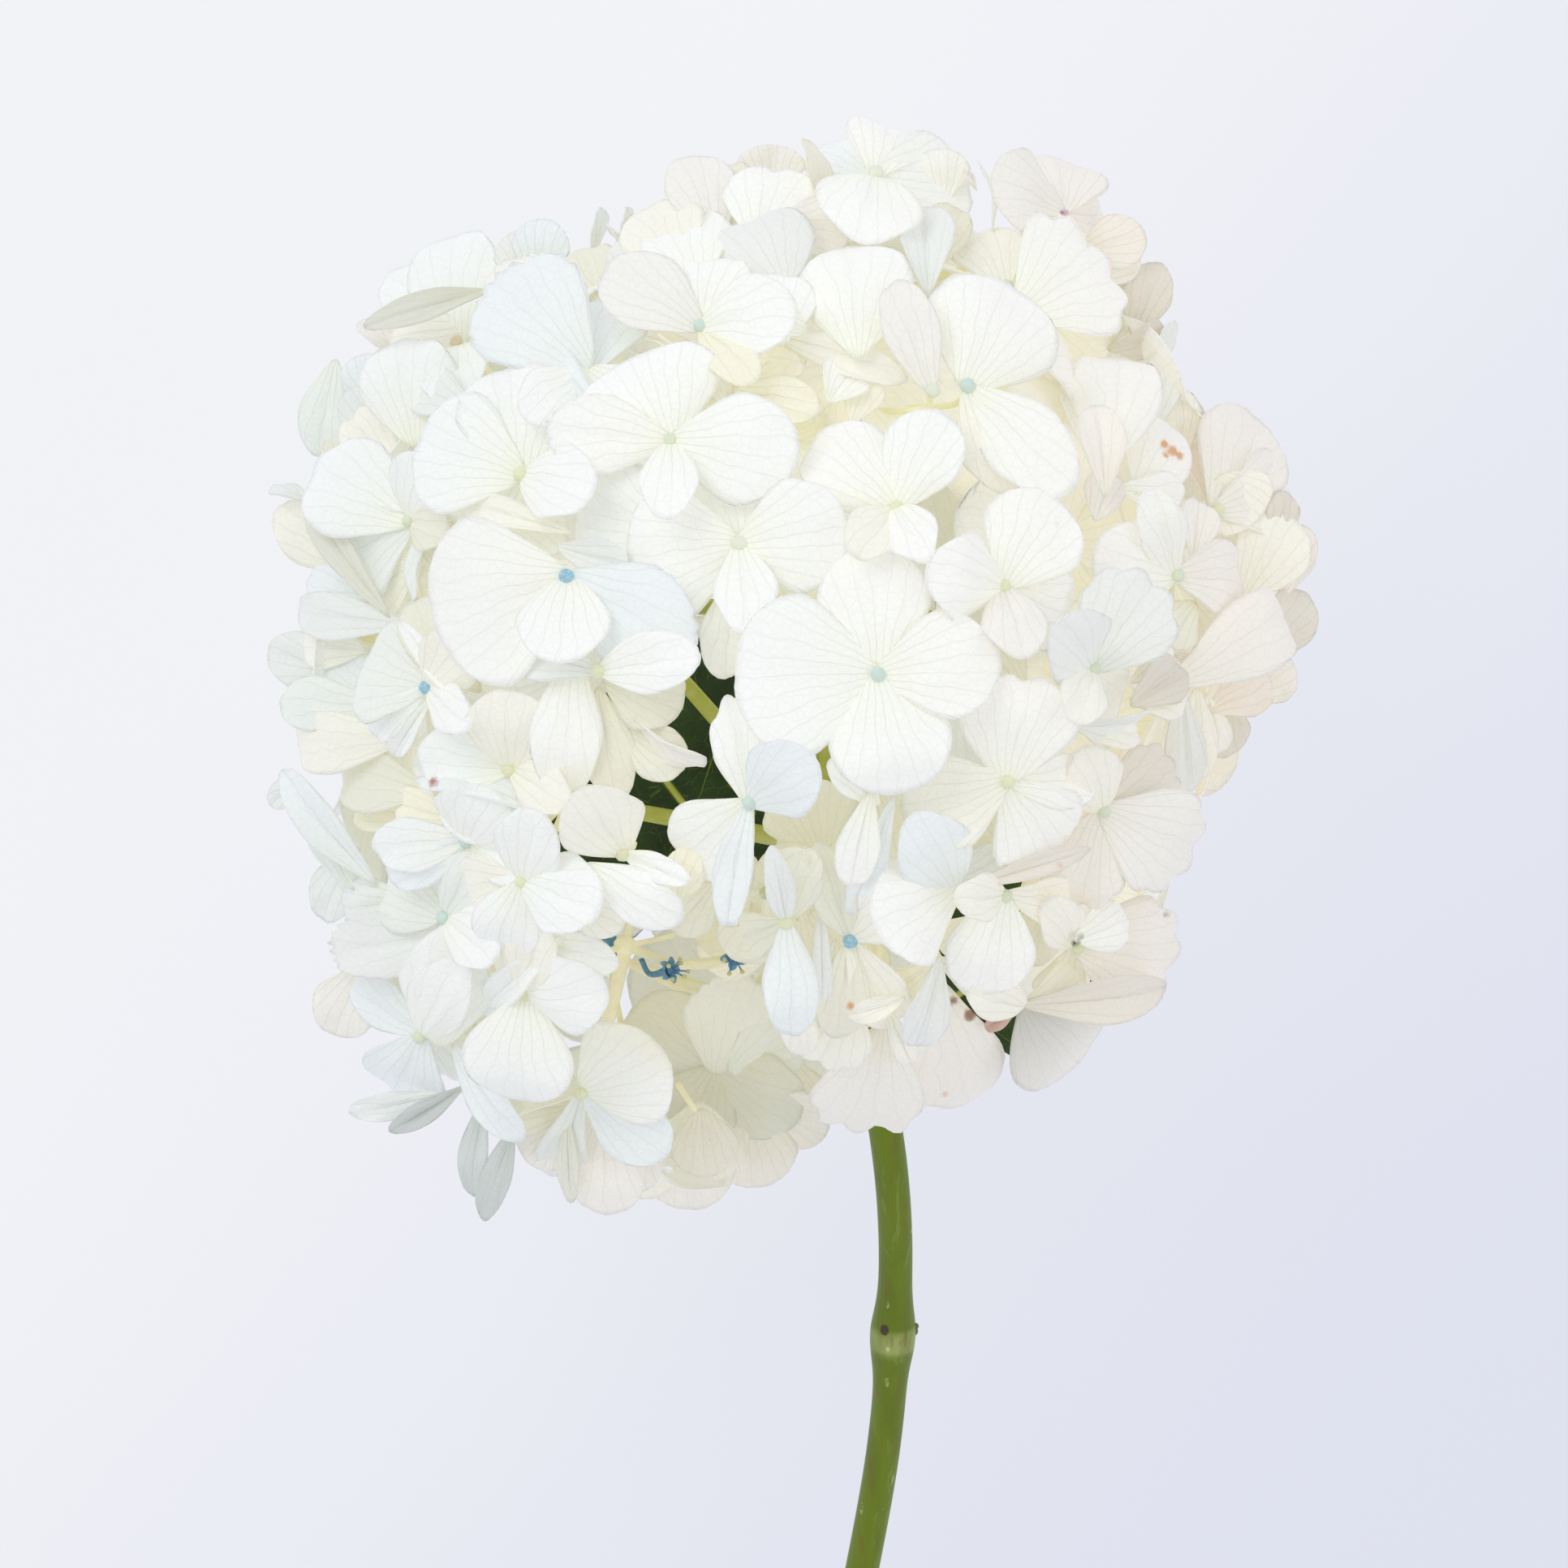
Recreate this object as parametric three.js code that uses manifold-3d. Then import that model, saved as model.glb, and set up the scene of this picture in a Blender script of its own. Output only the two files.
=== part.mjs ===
// Cut hydrangea: one white mophead flower head on a bare green stem, lying on a table.
// Units are millimetres. +Y runs from the cut stem to the crown, +Z is up, and Z = 0 is the table top.
import * as THREE from 'three';
import { mergeVertices } from 'three/addons/utils/BufferGeometryUtils.js';
import Module from 'manifold-3d';

const wasm = await Module();
wasm.setup();

// Driving dimensions
const HEAD_CENTRE_HEIGHT = 74;
const FLORET_FORM = new THREE.Vector3(84, 88, 76);
const SEPAL_LENGTH = { least: 20, most: 31 };
const RULE_SEPAL = { length: [24, 29], width: [24, 29] };
const SEPAL_THICKNESS = 0.6;
const REST_FLORET = { x: 12, y: 3, turn: 0.25, length: 25, width: 24 };
const FLORET_NOTCH = 3.2;
const FLORET_SPACING = 28;
const PEDICEL_RADIUS = 0.75;
const PEDICEL_DROP = 7;
const PEDICEL_SIDES = 3;
const ROOT_DEPTH = 0.5;
const RAY_RADIUS = 1.5;
const KNOT_RADIUS = 2.1;
const HUB_RADIUS = 3.6;
const HUB_ROOT = 3;
const HUB_CROWN = 3;
const HUB_SIDES = 7;
const RAY_SIDES = 4;
const RAY_TAPER = { root: 1.25, end: 0.9 };
const STEM_RADIUS = 3.2;
const STEM_SIDES = 8;
const STEM_STEPS = 30;
const CUT_END = { y: -300, x: -8 };
const LEAF_THICKNESS = 0.8;
const LEAF_STALK_RADIUS = 1.4;
const GAP = 0.3;

// The photograph is square. It looks straight down, from this far above the middle of the flower head.
const PHOTO = { width: 1932, headColumn: 971, headRow: 835, mmPerPixel: 0.15, eyeDistance: 1200 };

// How the photographed florets stand: how far out on the form, and how far they face the viewer, as shares
const FARTHEST_OUT = 0.94;
const FACING_VIEWER = 0.3;

// Florets that the photograph hides: places tried over the whole head, those below this level kept, and the
// depths and turns tried at each place
const HIDDEN = {
  places: 150,
  firstTurn: 0.9,
  belowLevel: 0.3,
  depths: [0, 3, -4, -8],
  turns: [0, Math.PI / 4],
  looseTurn: 0.4,
  unevenTurn: 0.12,
};

// Where the stem enters the head, as a share of the form's size: no floret stands there
const STEM_OPENING = { below: -0.78, middle: 0.2, half: 0.5 };

// Florets whose centres would be lower than this are pressed towards the table and turned to face it
const PRESSED = { below: 20, rest: 1, facingDown: 0.7 };

// Seeded random numbers from 0 to 1
function drawer(seed) {
  let state = seed;
  return () => {
    state = (state + 0x6d2b79f5) | 0;
    let mixed = Math.imul(state ^ (state >>> 15), 1 | state);
    mixed = (mixed + Math.imul(mixed ^ (mixed >>> 7), 61 | mixed)) ^ mixed;
    return ((mixed ^ (mixed >>> 14)) >>> 0) / 4294967296;
  };
}

const draw = drawer(318);

function between(low, high) {
  return low + (high - low) * draw();
}

// Place of a photographed point, once its height above the table is known
function seenAt(column, row, height) {
  const spread = (HEAD_CENTRE_HEIGHT + PHOTO.eyeDistance - height) / PHOTO.eyeDistance;
  const middle = PHOTO.width / 2;
  const x = (middle - PHOTO.headColumn + (column - middle) * spread) * PHOTO.mmPerPixel;
  const y = (PHOTO.headRow - middle + (middle - row) * spread) * PHOTO.mmPerPixel;
  return new THREE.Vector3(x, y, height);
}

// Height of the front of the ellipsoid that the florets' centres lie on
function formHeight(x, y) {
  const reach = Math.min((x / FLORET_FORM.x) ** 2 + (y / FLORET_FORM.y) ** 2, FARTHEST_OUT);
  return HEAD_CENTRE_HEIGHT + FLORET_FORM.z * Math.sqrt(1 - reach);
}

// Direction out of that ellipsoid, leant towards the viewer by a share from 0 to 1
function formNormal(point, lean) {
  const outward = new THREE.Vector3(
    point.x / FLORET_FORM.x ** 2,
    point.y / FLORET_FORM.y ** 2,
    (point.z - HEAD_CENTRE_HEIGHT) / FLORET_FORM.z ** 2,
  ).normalize();
  return outward.lerp(new THREE.Vector3(0, 0, 1), lean).normalize();
}

// Solid from a list of points and of triangles
function solidFrom(points, triangles) {
  const geometry = new THREE.BufferGeometry().setFromPoints(points);
  geometry.setIndex(triangles.flat());
  return solidOf(geometry);
}

function solidOf(geometry) {
  const bare = geometry.clone();
  bare.deleteAttribute('normal');
  bare.deleteAttribute('uv');
  const merged = mergeVertices(bare, 1e-4);
  return new wasm.Manifold(new wasm.Mesh({
    numProp: 3,
    vertProperties: new Float32Array(merged.attributes.position.array),
    triVerts: new Uint32Array(merged.index.array),
  }));
}

function geometryOf(solid) {
  const mesh = solid.getMesh();
  const geometry = new THREE.BufferGeometry();
  geometry.setAttribute('position', new THREE.BufferAttribute(mesh.vertProperties, 3));
  geometry.setIndex(new THREE.BufferAttribute(mesh.triVerts, 1));
  return geometry;
}

// Round rod through a list of points, with a radius at each point. Its first ring starts from a direction
// that no rod here runs along
function rod(points, radii, sides) {
  const rings = [];
  const faces = [];
  let side = new THREE.Vector3(0.37, 0.91, 0.18);
  points.forEach((point, index) => {
    const before = points[Math.max(index - 1, 0)];
    const after = points[Math.min(index + 1, points.length - 1)];
    const along = after.clone().sub(before).normalize();
    side = side.clone().addScaledVector(along, -side.dot(along)).normalize();
    const other = along.clone().cross(side);
    for (let step = 0; step < sides; step += 1) {
      const turn = (step / sides) * 2 * Math.PI;
      rings.push(point.clone()
        .addScaledVector(side, radii[index] * Math.cos(turn))
        .addScaledVector(other, radii[index] * Math.sin(turn)));
    }
  });
  for (let ring = 0; ring < points.length - 1; ring += 1) {
    for (let step = 0; step < sides; step += 1) {
      const here = ring * sides + step;
      const next = ring * sides + ((step + 1) % sides);
      faces.push([here, next, next + sides], [here, next + sides, here + sides]);
    }
  }
  const last = (points.length - 1) * sides;
  for (let step = 1; step < sides - 1; step += 1) {
    faces.push([0, step + 1, step], [last, last + step, last + step + 1]);
  }
  return solidFrom(rings, faces);
}

// Branches inside the head: where each ends, and the points that it passes from the branch it leaves
const HUB = new THREE.Vector3(8, -34, 74);
const BRANCHES = {
  hub: { at: HUB },
  leftGap: { at: seenAt(818, 812, 104), from: 'hub' },
  left: { at: seenAt(700, 985, 96), from: 'hub' },
  lowerLeft: { at: seenAt(770, 1165, 96), from: 'hub', by: [seenAt(938, 1165, 86), seenAt(840, 1188, 92)] },
  upperLeft: { at: new THREE.Vector3(-44, 46, 98), from: 'leftGap' },
  upperMiddle: { at: new THREE.Vector3(-8, 48, 112), from: 'middle' },
  middle: { at: new THREE.Vector3(6, 8, 112), from: 'hub' },
  top: { at: new THREE.Vector3(18, 70, 84), from: 'middle' },
  right: { at: new THREE.Vector3(44, 6, 110), from: 'hub', by: [new THREE.Vector3(26, -16, 98)] },
  upperRight: { at: new THREE.Vector3(52, 42, 92), from: 'right' },
  farRight: { at: new THREE.Vector3(68, 8, 84), from: 'right' },
  lowerRight: { at: new THREE.Vector3(44, -36, 98), from: 'hub' },
  lowerMiddle: { at: new THREE.Vector3(12, -48, 106), from: 'hub' },
  back: { at: new THREE.Vector3(18, 14, 48), from: 'hub', by: [new THREE.Vector3(18, -2, 66)] },
  backLeft: { at: new THREE.Vector3(-30, 14, 40), from: 'back' },
  backRight: { at: new THREE.Vector3(54, 4, 38), from: 'back' },
  backTop: { at: new THREE.Vector3(12, 56, 44), from: 'back' },
  backLow: { at: new THREE.Vector3(14, -14, 30), from: 'back' },
  underLeft: {
    at: new THREE.Vector3(-34, -52, 44),
    from: 'hub',
    by: [new THREE.Vector3(-6, -44, 78), new THREE.Vector3(-22, -62, 66)],
  },
  underRight: { at: new THREE.Vector3(50, -44, 42), from: 'backLow' },
};

// Florets that the photograph shows. Each row gives the centre's column and row, how far the centre stands
// proud of the head's form in mm, and each sepal's tip as a column, a row and a width in pixels
const SEEN_FLORETS = [
  [827, 544, 1, [985, 560, 125], [770, 440, 170], [673, 525, 95], [822, 640, 60]],
  [644, 586, 3, [515, 545, 130], [600, 470, 120], [725, 570, 80], [680, 690, 60]],
  [508, 643, -2, [376, 600, 115], [450, 720, 100], [505, 540, 90], [600, 700, 80]],
  [700, 711, 6, [540, 765, 190], [800, 770, 110], [650, 860, 110], [735, 640, 80]],
  [911, 671, 0, [773, 695, 140], [1045, 645, 140], [895, 820, 90], [882, 560, 80]],
  [863, 407, 3, [745, 325, 80], [885, 310, 100], [980, 385, 90], [900, 480, 80]],
  [1188, 480, 4, [1225, 350, 140], [1310, 470, 110], [1097, 345, 80], [1200, 612, 110]],
  [1104, 627, 1, [1000, 538, 105], [1165, 510, 95], [1137, 730, 80], [1010, 670, 70]],
  [1235, 723, 6, [1130, 695, 110], [1310, 612, 120], [1338, 752, 100], [1225, 830, 90]],
  [1238, 358, -1, [1385, 340, 140], [1215, 256, 80], [1330, 450, 90], [1130, 420, 80]],
  [1078, 218, 2, [980, 178, 90], [1100, 168, 80], [1202, 250, 110], [1075, 300, 125]],
  [1309, 262, 1, [1215, 214, 90], [1325, 190, 90], [1410, 300, 80], [1320, 360, 80]],
  [900, 260, -2, [835, 195, 85], [775, 290, 110], [960, 200, 90], [1010, 330, 90]],
  [985, 425, 1, [1060, 302, 130], [925, 325, 100], [1070, 480, 70], [960, 520, 70]],
  [1360, 600, 2, [1375, 437, 105], [1458, 540, 90], [1430, 650, 80], [1290, 560, 90]],
  [1400, 425, -3, [1438, 332, 60], [1462, 410, 60], [1385, 500, 70], [1310, 400, 80]],
  [1495, 625, 1, [1520, 512, 120], [1590, 600, 110], [1420, 570, 80], [1490, 740, 90]],
  [1562, 715, -4, [1606, 640, 90], [1612, 760, 90], [1560, 830, 90], [1500, 690, 80]],
  [1478, 850, -7, [1573, 780, 90], [1560, 880, 80], [1470, 975, 80], [1400, 850, 80]],
  [1447, 710, 5, [1340, 688, 120], [1465, 600, 90], [1540, 690, 90], [1470, 820, 90]],
  [1343, 824, 3, [1437, 718, 110], [1280, 750, 90], [1430, 860, 90], [1330, 930, 90]],
  [565, 395, -1, [480, 330, 90], [590, 288, 100], [441, 398, 70], [650, 360, 90]],
  [540, 500, -4, [450, 430, 100], [430, 540, 90], [610, 440, 90], [590, 590, 90]],
  [425, 520, -10, [380, 455, 80], [372, 560, 80], [470, 600, 80], [480, 440, 80]],
  [700, 445, 1, [595, 350, 110], [762, 385, 90], [790, 500, 80], [650, 540, 80]],
  [670, 335, -7, [635, 272, 70], [745, 290, 70], [745, 400, 80], [600, 400, 80]],
  [420, 665, -9, [334, 606, 70], [340, 700, 90], [420, 760, 90], [450, 580, 80]],
  [528, 846, 3, [440, 775, 100], [560, 735, 80], [600, 900, 90], [460, 930, 90]],
  [410, 850, -5, [335, 795, 80], [335, 890, 90], [400, 960, 90], [460, 790, 80]],
  [455, 1095, -3, [338, 960, 80], [375, 1110, 90], [430, 1190, 90], [540, 1060, 80]],
  [738, 827, 2, [863, 800, 100], [700, 975, 85], [625, 800, 75], [770, 930, 90]],
  [630, 947, 1, [510, 930, 80], [640, 835, 90], [700, 1000, 70], [610, 1030, 80]],
  [578, 1034, -3, [523, 930, 80], [450, 1052, 90], [490, 1130, 90], [650, 1080, 80]],
  [645, 1084, 7, [665, 970, 90], [545, 1035, 80], [625, 1180, 90], [745, 1130, 100]],
  [769, 1050, 3, [722, 975, 85], [672, 1080, 70], [845, 1100, 70], [850, 1010, 50]],
  [923, 989, 3, [855, 1080, 110], [890, 870, 90], [1015, 930, 90], [960, 1100, 70]],
  [1081, 831, 6, [910, 840, 180], [1080, 670, 130], [1232, 815, 120], [1112, 978, 135]],
  [1240, 964, 5, [1255, 827, 134], [1110, 1000, 100], [1365, 935, 80], [1305, 1060, 110]],
  [1236, 1104, 3, [1213, 1226, 104], [1130, 1110, 70], [1330, 1100, 60], [1240, 1000, 80]],
  [1357, 995, 1, [1472, 1055, 115], [1310, 1125, 95], [1450, 925, 80], [1330, 900, 80]],
  [1176, 1092, -1, [1120, 985, 85], [1090, 1180, 100], [1243, 1050, 60], [1230, 1180, 70]],
  [1085, 975, -5, [1020, 928, 70], [1052, 1098, 70], [1180, 930, 70], [990, 1020, 60]],
  [1047, 1158, 0, [1008, 1033, 60], [1085, 1280, 90], [970, 1220, 60], [1150, 1090, 70]],
  [968, 1134, 3, [980, 1274, 60], [950, 1020, 50], [890, 1090, 50], [1040, 1120, 50]],
  [1262, 1234, 3, [1420, 1200, 80], [1320, 1330, 120], [1310, 1150, 80], [1190, 1290, 70]],
  [1335, 1155, -3, [1452, 1180, 120], [1395, 1090, 80], [1280, 1060, 80], [1360, 1260, 80]],
  [1168, 1200, 2, [1125, 1289, 60], [1080, 1225, 50], [1140, 1110, 60], [1240, 1160, 60]],
  [1165, 1275, -5, [1200, 1362, 120], [1080, 1380, 115], [1080, 1250, 70], [1270, 1260, 80]],
  [648, 1221, 3, [750, 1200, 110], [645, 1354, 120], [690, 1120, 80], [570, 1170, 80]],
  [521, 1274, 2, [490, 1350, 100], [425, 1210, 90], [580, 1165, 110], [600, 1380, 70]],
  [721, 1342, 2, [835, 1320, 100], [810, 1425, 85], [700, 1482, 90], [620, 1345, 80]],
  [450, 1205, -9, [390, 1265, 90], [385, 1160, 80], [440, 1120, 80], [530, 1240, 80]],
  [625, 1400, -5, [585, 1505, 100], [500, 1405, 70], [680, 1500, 80], [690, 1380, 70]],
];

// Least turn from one sepal to the next, the most that a sepal leaves its floret's plane, as rise over
// length, and the least that a floret faces up where its sepals' heights are worked out
const LEAST_TURN = THREE.MathUtils.degToRad(52);
const STEEPEST = 1.5;
const LEAST_FACING_UP = 0.35;

// Outline of a sepal: its widest place and its blunt tip as shares of its length, the tip's width as a
// share of the whole, and the turn that stays free beside the next sepal
const SHOULDER = { share: 0.56, width: 1, room: 1 };
const TOE = { share: 0.93, width: 0.55, room: 0.6 };
const TIP = { share: 1, width: 0, room: 1 };
const FREE_TURN = 0.06;

// Floret from its centre, its facing and its sepals' tips and widths, sorted round its own plane
function layOutFloret(centre, normal, tips) {
  const across = new THREE.Vector3(0, 0, 1).cross(normal);
  const nearlyLevel = 0.1;
  if (across.length() < nearlyLevel) {
    across.set(1, 0, 0).addScaledVector(normal, -normal.x);
  }
  across.normalize();
  const up = normal.clone().cross(across);
  const sepals = tips.map(({ tip, width }) => {
    const offset = tip.clone().sub(centre);
    const rise = offset.dot(normal);
    const length = Math.hypot(offset.dot(across), offset.dot(up));
    const turn = Math.atan2(offset.dot(up), offset.dot(across));
    const steep = THREE.MathUtils.clamp(rise, -length * STEEPEST, length * STEEPEST);
    return { turn, length, rise: steep, width };
  });
  sepals.sort((one, other) => one.turn - other.turn);
  spreadTurns(sepals);
  return { centre, normal, across, up, sepals };
}

// Push apart sepals that stand closer round the centre than the least turn
function spreadTurns(sepals) {
  const passes = 30;
  for (let pass = 0; pass < passes; pass += 1) {
    sepals.forEach((sepal, index) => {
      const next = sepals[(index + 1) % sepals.length];
      const wrap = index === sepals.length - 1 ? 2 * Math.PI : 0;
      const lack = LEAST_TURN - (next.turn + wrap - sepal.turn);
      if (lack > 0) {
        sepal.turn -= lack / 2;
        next.turn += lack / 2;
      }
    });
  }
}

// Floret as one thin star: a fan over its own plane with the same rim above and below
function floretSolid(floret) {
  const { centre, normal, across, up, sepals } = floret;
  const rim = [];
  sepals.forEach((sepal, index) => {
    const before = sepals[(index + sepals.length - 1) % sepals.length];
    const after = sepals[(index + 1) % sepals.length];
    const gapBefore = (sepal.turn - before.turn + 4 * Math.PI) % (2 * Math.PI);
    const gapAfter = (after.turn - sepal.turn + 4 * Math.PI) % (2 * Math.PI);
    const stretch = Math.hypot(1, sepal.rise / sepal.length);
    const put = ({ share, width, room }, sign) => {
      const sideways = (width * sepal.width) / 2;
      const reach = Math.hypot(share * sepal.length, sideways);
      const free = (sign < 0 ? gapBefore : gapAfter) / 2 - FREE_TURN;
      const open = Math.min(Math.atan2(sideways, share * sepal.length), free * room);
      rim.push({ turn: sepal.turn + sign * open, reach, height: sepal.rise * share, stretch });
    };
    put(SHOULDER, -1);
    if (floret.pointed) {
      put(TIP, 1);
    } else {
      put(TOE, -1);
      put(TOE, 1);
    }
    put(SHOULDER, 1);
    rim.push({ turn: sepal.turn + gapAfter / 2, reach: FLORET_NOTCH, height: 0, stretch: 1 });
  });
  const upper = [centre.clone().addScaledVector(normal, SEPAL_THICKNESS / 2)];
  const lower = [centre.clone().addScaledVector(normal, -SEPAL_THICKNESS / 2)];
  rim.forEach(({ turn, reach, height, stretch }) => {
    const middle = planePoint(floret, reach, turn, height);
    upper.push(middle.clone().addScaledVector(normal, (SEPAL_THICKNESS / 2) * stretch));
    lower.push(middle.clone().addScaledVector(normal, (-SEPAL_THICKNESS / 2) * stretch));
  });
  layOnTable(upper, lower, normal);
  const count = rim.length;
  const stalk = pedicelRings(floret);
  const points = [...upper, ...lower.slice(1), ...stalk.flat()];
  const faces = [];
  const stalkTop = 2 * count + 1;
  const nearest = rim.map(({ turn }) => (
    Math.round((turn / (2 * Math.PI)) * PEDICEL_SIDES + 4 * PEDICEL_SIDES) % PEDICEL_SIDES));
  for (let index = 0; index < count; index += 1) {
    const next = (index + 1) % count;
    const [a, b] = [1 + index, 1 + next];
    const [c, d] = [a + count, b + count];
    faces.push([0, a, b], [a, c, b], [b, c, d], [stalkTop + nearest[index], d, c]);
    if (nearest[next] !== nearest[index]) {
      faces.push([stalkTop + nearest[index], stalkTop + nearest[next], d]);
    }
  }
  for (let ring = 0; ring < stalk.length - 1; ring += 1) {
    for (let side = 0; side < PEDICEL_SIDES; side += 1) {
      const here = stalkTop + ring * PEDICEL_SIDES + side;
      const beside = stalkTop + ring * PEDICEL_SIDES + ((side + 1) % PEDICEL_SIDES);
      const below = here + PEDICEL_SIDES;
      faces.push([here, below, beside], [beside, below, beside + PEDICEL_SIDES]);
    }
  }
  const foot = stalkTop + (stalk.length - 1) * PEDICEL_SIDES;
  faces.push([foot, foot + 2, foot + 1]);
  return solidFrom(points, faces);
}

// Point of a floret's own plane, at a distance and turn from its centre and a height above the plane
function planePoint({ centre, normal, across, up }, reach, turn, height) {
  return centre.clone()
    .addScaledVector(across, reach * Math.cos(turn))
    .addScaledVector(up, reach * Math.sin(turn))
    .addScaledVector(normal, height);
}

// Three-sided stalk of a floret: rings from under its centre, round a bend, to the branch it grows from
function pedicelRings(floret) {
  const bend = planePoint(floret, 0, 0, -PEDICEL_DROP);
  const branch = nearestBranch(bend).at;
  const outOfBranch = bend.clone().sub(branch).normalize();
  const root = branch.clone().addScaledVector(outOfBranch, KNOT_RADIUS - ROOT_DEPTH);
  const ringAt = (point, normal) => {
    const across = floret.across.clone().addScaledVector(normal, -floret.across.dot(normal)).normalize();
    const up = normal.clone().cross(across);
    return planeRing(point, across, up);
  };
  const middle = outOfBranch.clone().add(floret.normal).normalize();
  const start = planePoint(floret, 0, 0, -SEPAL_THICKNESS / 2);
  start.z = Math.max(start.z, floret.normal.z < 0 ? SEPAL_THICKNESS * 2 : 0);
  return [ringAt(start, floret.normal), ringAt(bend, middle), ringAt(root, outOfBranch)];
}

function planeRing(point, across, up) {
  const ring = [];
  for (let side = 0; side < PEDICEL_SIDES; side += 1) {
    const turn = (side / PEDICEL_SIDES) * 2 * Math.PI;
    ring.push(point.clone()
      .addScaledVector(across, PEDICEL_RADIUS * Math.cos(turn))
      .addScaledVector(up, PEDICEL_RADIUS * Math.sin(turn)));
  }
  return ring;
}

// The florets underneath are pressed flat where they meet the table
function layOnTable(upper, lower, normal) {
  const [outer, inner] = normal.z < 0 ? [upper, lower] : [lower, upper];
  outer.forEach((point, index) => {
    point.z = Math.max(point.z, 0);
    inner[index].z = Math.max(inner[index].z, point.z + SEPAL_THICKNESS);
  });
}

// Height at which a photographed tip lies in its floret's plane, within a sepal's real length
function tipInPlane([column, row], centre, normal) {
  let height = centre.z;
  const passes = 6;
  for (let pass = 0; pass < passes; pass += 1) {
    const flat = seenAt(column, row, height).sub(centre);
    const fall = -(normal.x * flat.x + normal.y * flat.y) / Math.max(normal.z, LEAST_FACING_UP);
    const seen = Math.hypot(flat.x, flat.y);
    const most = Math.sqrt(Math.max(SEPAL_LENGTH.most ** 2 - seen ** 2, 0));
    const least = Math.sqrt(Math.max(SEPAL_LENGTH.least ** 2 - seen ** 2, 0));
    const size = THREE.MathUtils.clamp(Math.abs(fall), least, most);
    height = centre.z + (fall > 0 ? size : -size);
  }
  return seenAt(column, row, height);
}

function seenFloret([column, row, proud, ...sepals]) {
  const passes = 4;
  let centre = seenAt(column, row, HEAD_CENTRE_HEIGHT + FLORET_FORM.z);
  for (let pass = 0; pass < passes; pass += 1) {
    centre = seenAt(column, row, formHeight(centre.x, centre.y) + proud);
  }
  const normal = formNormal(centre, FACING_VIEWER);
  const tips = sepals.map(([tipColumn, tipRow, width]) => ({
    tip: tipInPlane([tipColumn, tipRow], centre, normal),
    width: width * PHOTO.mmPerPixel,
  }));
  const floret = layOutFloret(centre, normal, tips);
  floret.solid = floretSolid(floret);
  return floret;
}

// Floret that the photograph hides: four even sepals in the form's own plane
function hiddenFloret(direction, proud, turned) {
  const centre = direction.clone().multiply(FLORET_FORM);
  centre.z += HEAD_CENTRE_HEIGHT;
  const normal = formNormal(centre, 0);
  const underneath = centre.z < PRESSED.below;
  if (underneath) {
    const height = Math.max(centre.z, 0) / PRESSED.below;
    normal.lerp(new THREE.Vector3(0, 0, -1), PRESSED.facingDown * (1 - height)).normalize();
    centre.z = PRESSED.rest + (PRESSED.below - PRESSED.rest) * height ** 2;
  }
  centre.addScaledVector(normal, underneath ? -Math.abs(proud) / 2 : proud);
  const across = new THREE.Vector3(0.3, 0.2, 0.93).cross(normal).normalize();
  const up = normal.clone().cross(across);
  const tips = [0, 1, 2, 3].map((quarter) => {
    const turn = turned + (quarter * Math.PI) / 2 + between(-HIDDEN.unevenTurn, HIDDEN.unevenTurn);
    const length = between(...RULE_SEPAL.length);
    const tip = centre.clone()
      .addScaledVector(across, length * Math.cos(turn))
      .addScaledVector(up, length * Math.sin(turn))
      .addScaledVector(normal, underneath ? between(-2, 1) : between(-5, 0));
    return { tip, width: between(...RULE_SEPAL.width) };
  });
  const floret = layOutFloret(centre, normal, tips);
  floret.pointed = true;
  floret.solid = floretSolid(floret);
  return floret;
}

// Of a few depths and turns, the one whose sepals cross those already there the least
function clearestFloret(direction, others) {
  let best = null;
  HIDDEN.depths.forEach((proud) => {
    HIDDEN.turns.forEach((turned) => {
      const floret = hiddenFloret(direction, proud, turned + between(0, HIDDEN.looseTurn));
      floret.crossing = others.reduce((total, other) => (
        other.centre.distanceTo(floret.centre) > 2 * SEPAL_LENGTH.most ? total
          : total + floret.solid.intersect(other.solid).volume()), 0);
      if (!best || floret.crossing < best.crossing) {
        best = floret;
      }
    });
  });
  return best;
}

// Floret that the head's weight presses flat on the table, one sepal of it over the origin
function restFloret() {
  const normal = new THREE.Vector3(0, 0, -1);
  const centre = new THREE.Vector3(REST_FLORET.x, REST_FLORET.y, SEPAL_THICKNESS / 2);
  const tips = [0, 1, 2, 3].map((quarter) => {
    const turn = REST_FLORET.turn + (quarter * Math.PI) / 2;
    const tip = new THREE.Vector3(Math.cos(turn), Math.sin(turn), 0).multiplyScalar(REST_FLORET.length);
    return { tip: tip.add(centre), width: REST_FLORET.width };
  });
  const floret = layOutFloret(centre, normal, tips);
  floret.solid = floretSolid(floret);
  return floret;
}

// Directions spread evenly over the whole head, kept where no floret is near and the stem doesn't pass
function hiddenFlorets(others) {
  const found = [restFloret()];
  for (let index = 0; index < HIDDEN.places; index += 1) {
    const level = 1 - (2 * index + 1) / HIDDEN.places;
    const turn = index * Math.PI * (3 - Math.sqrt(5)) + HIDDEN.firstTurn;
    const round = Math.sqrt(1 - level ** 2);
    const direction = new THREE.Vector3(round * Math.cos(turn), round * Math.sin(turn), level);
    const place = direction.clone().multiply(FLORET_FORM);
    place.z = Math.max(place.z + HEAD_CENTRE_HEIGHT, PRESSED.rest);
    const taken = [...others, ...found].some((floret) => floret.centre.distanceTo(place) < FLORET_SPACING);
    const besideStem = Math.abs(direction.x - STEM_OPENING.middle);
    const atStem = direction.y < STEM_OPENING.below && besideStem < STEM_OPENING.half;
    if (!taken && !atStem && level < HIDDEN.belowLevel) {
      found.push(clearestFloret(direction, [...others, ...found]));
    }
  }
  return found;
}

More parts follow.
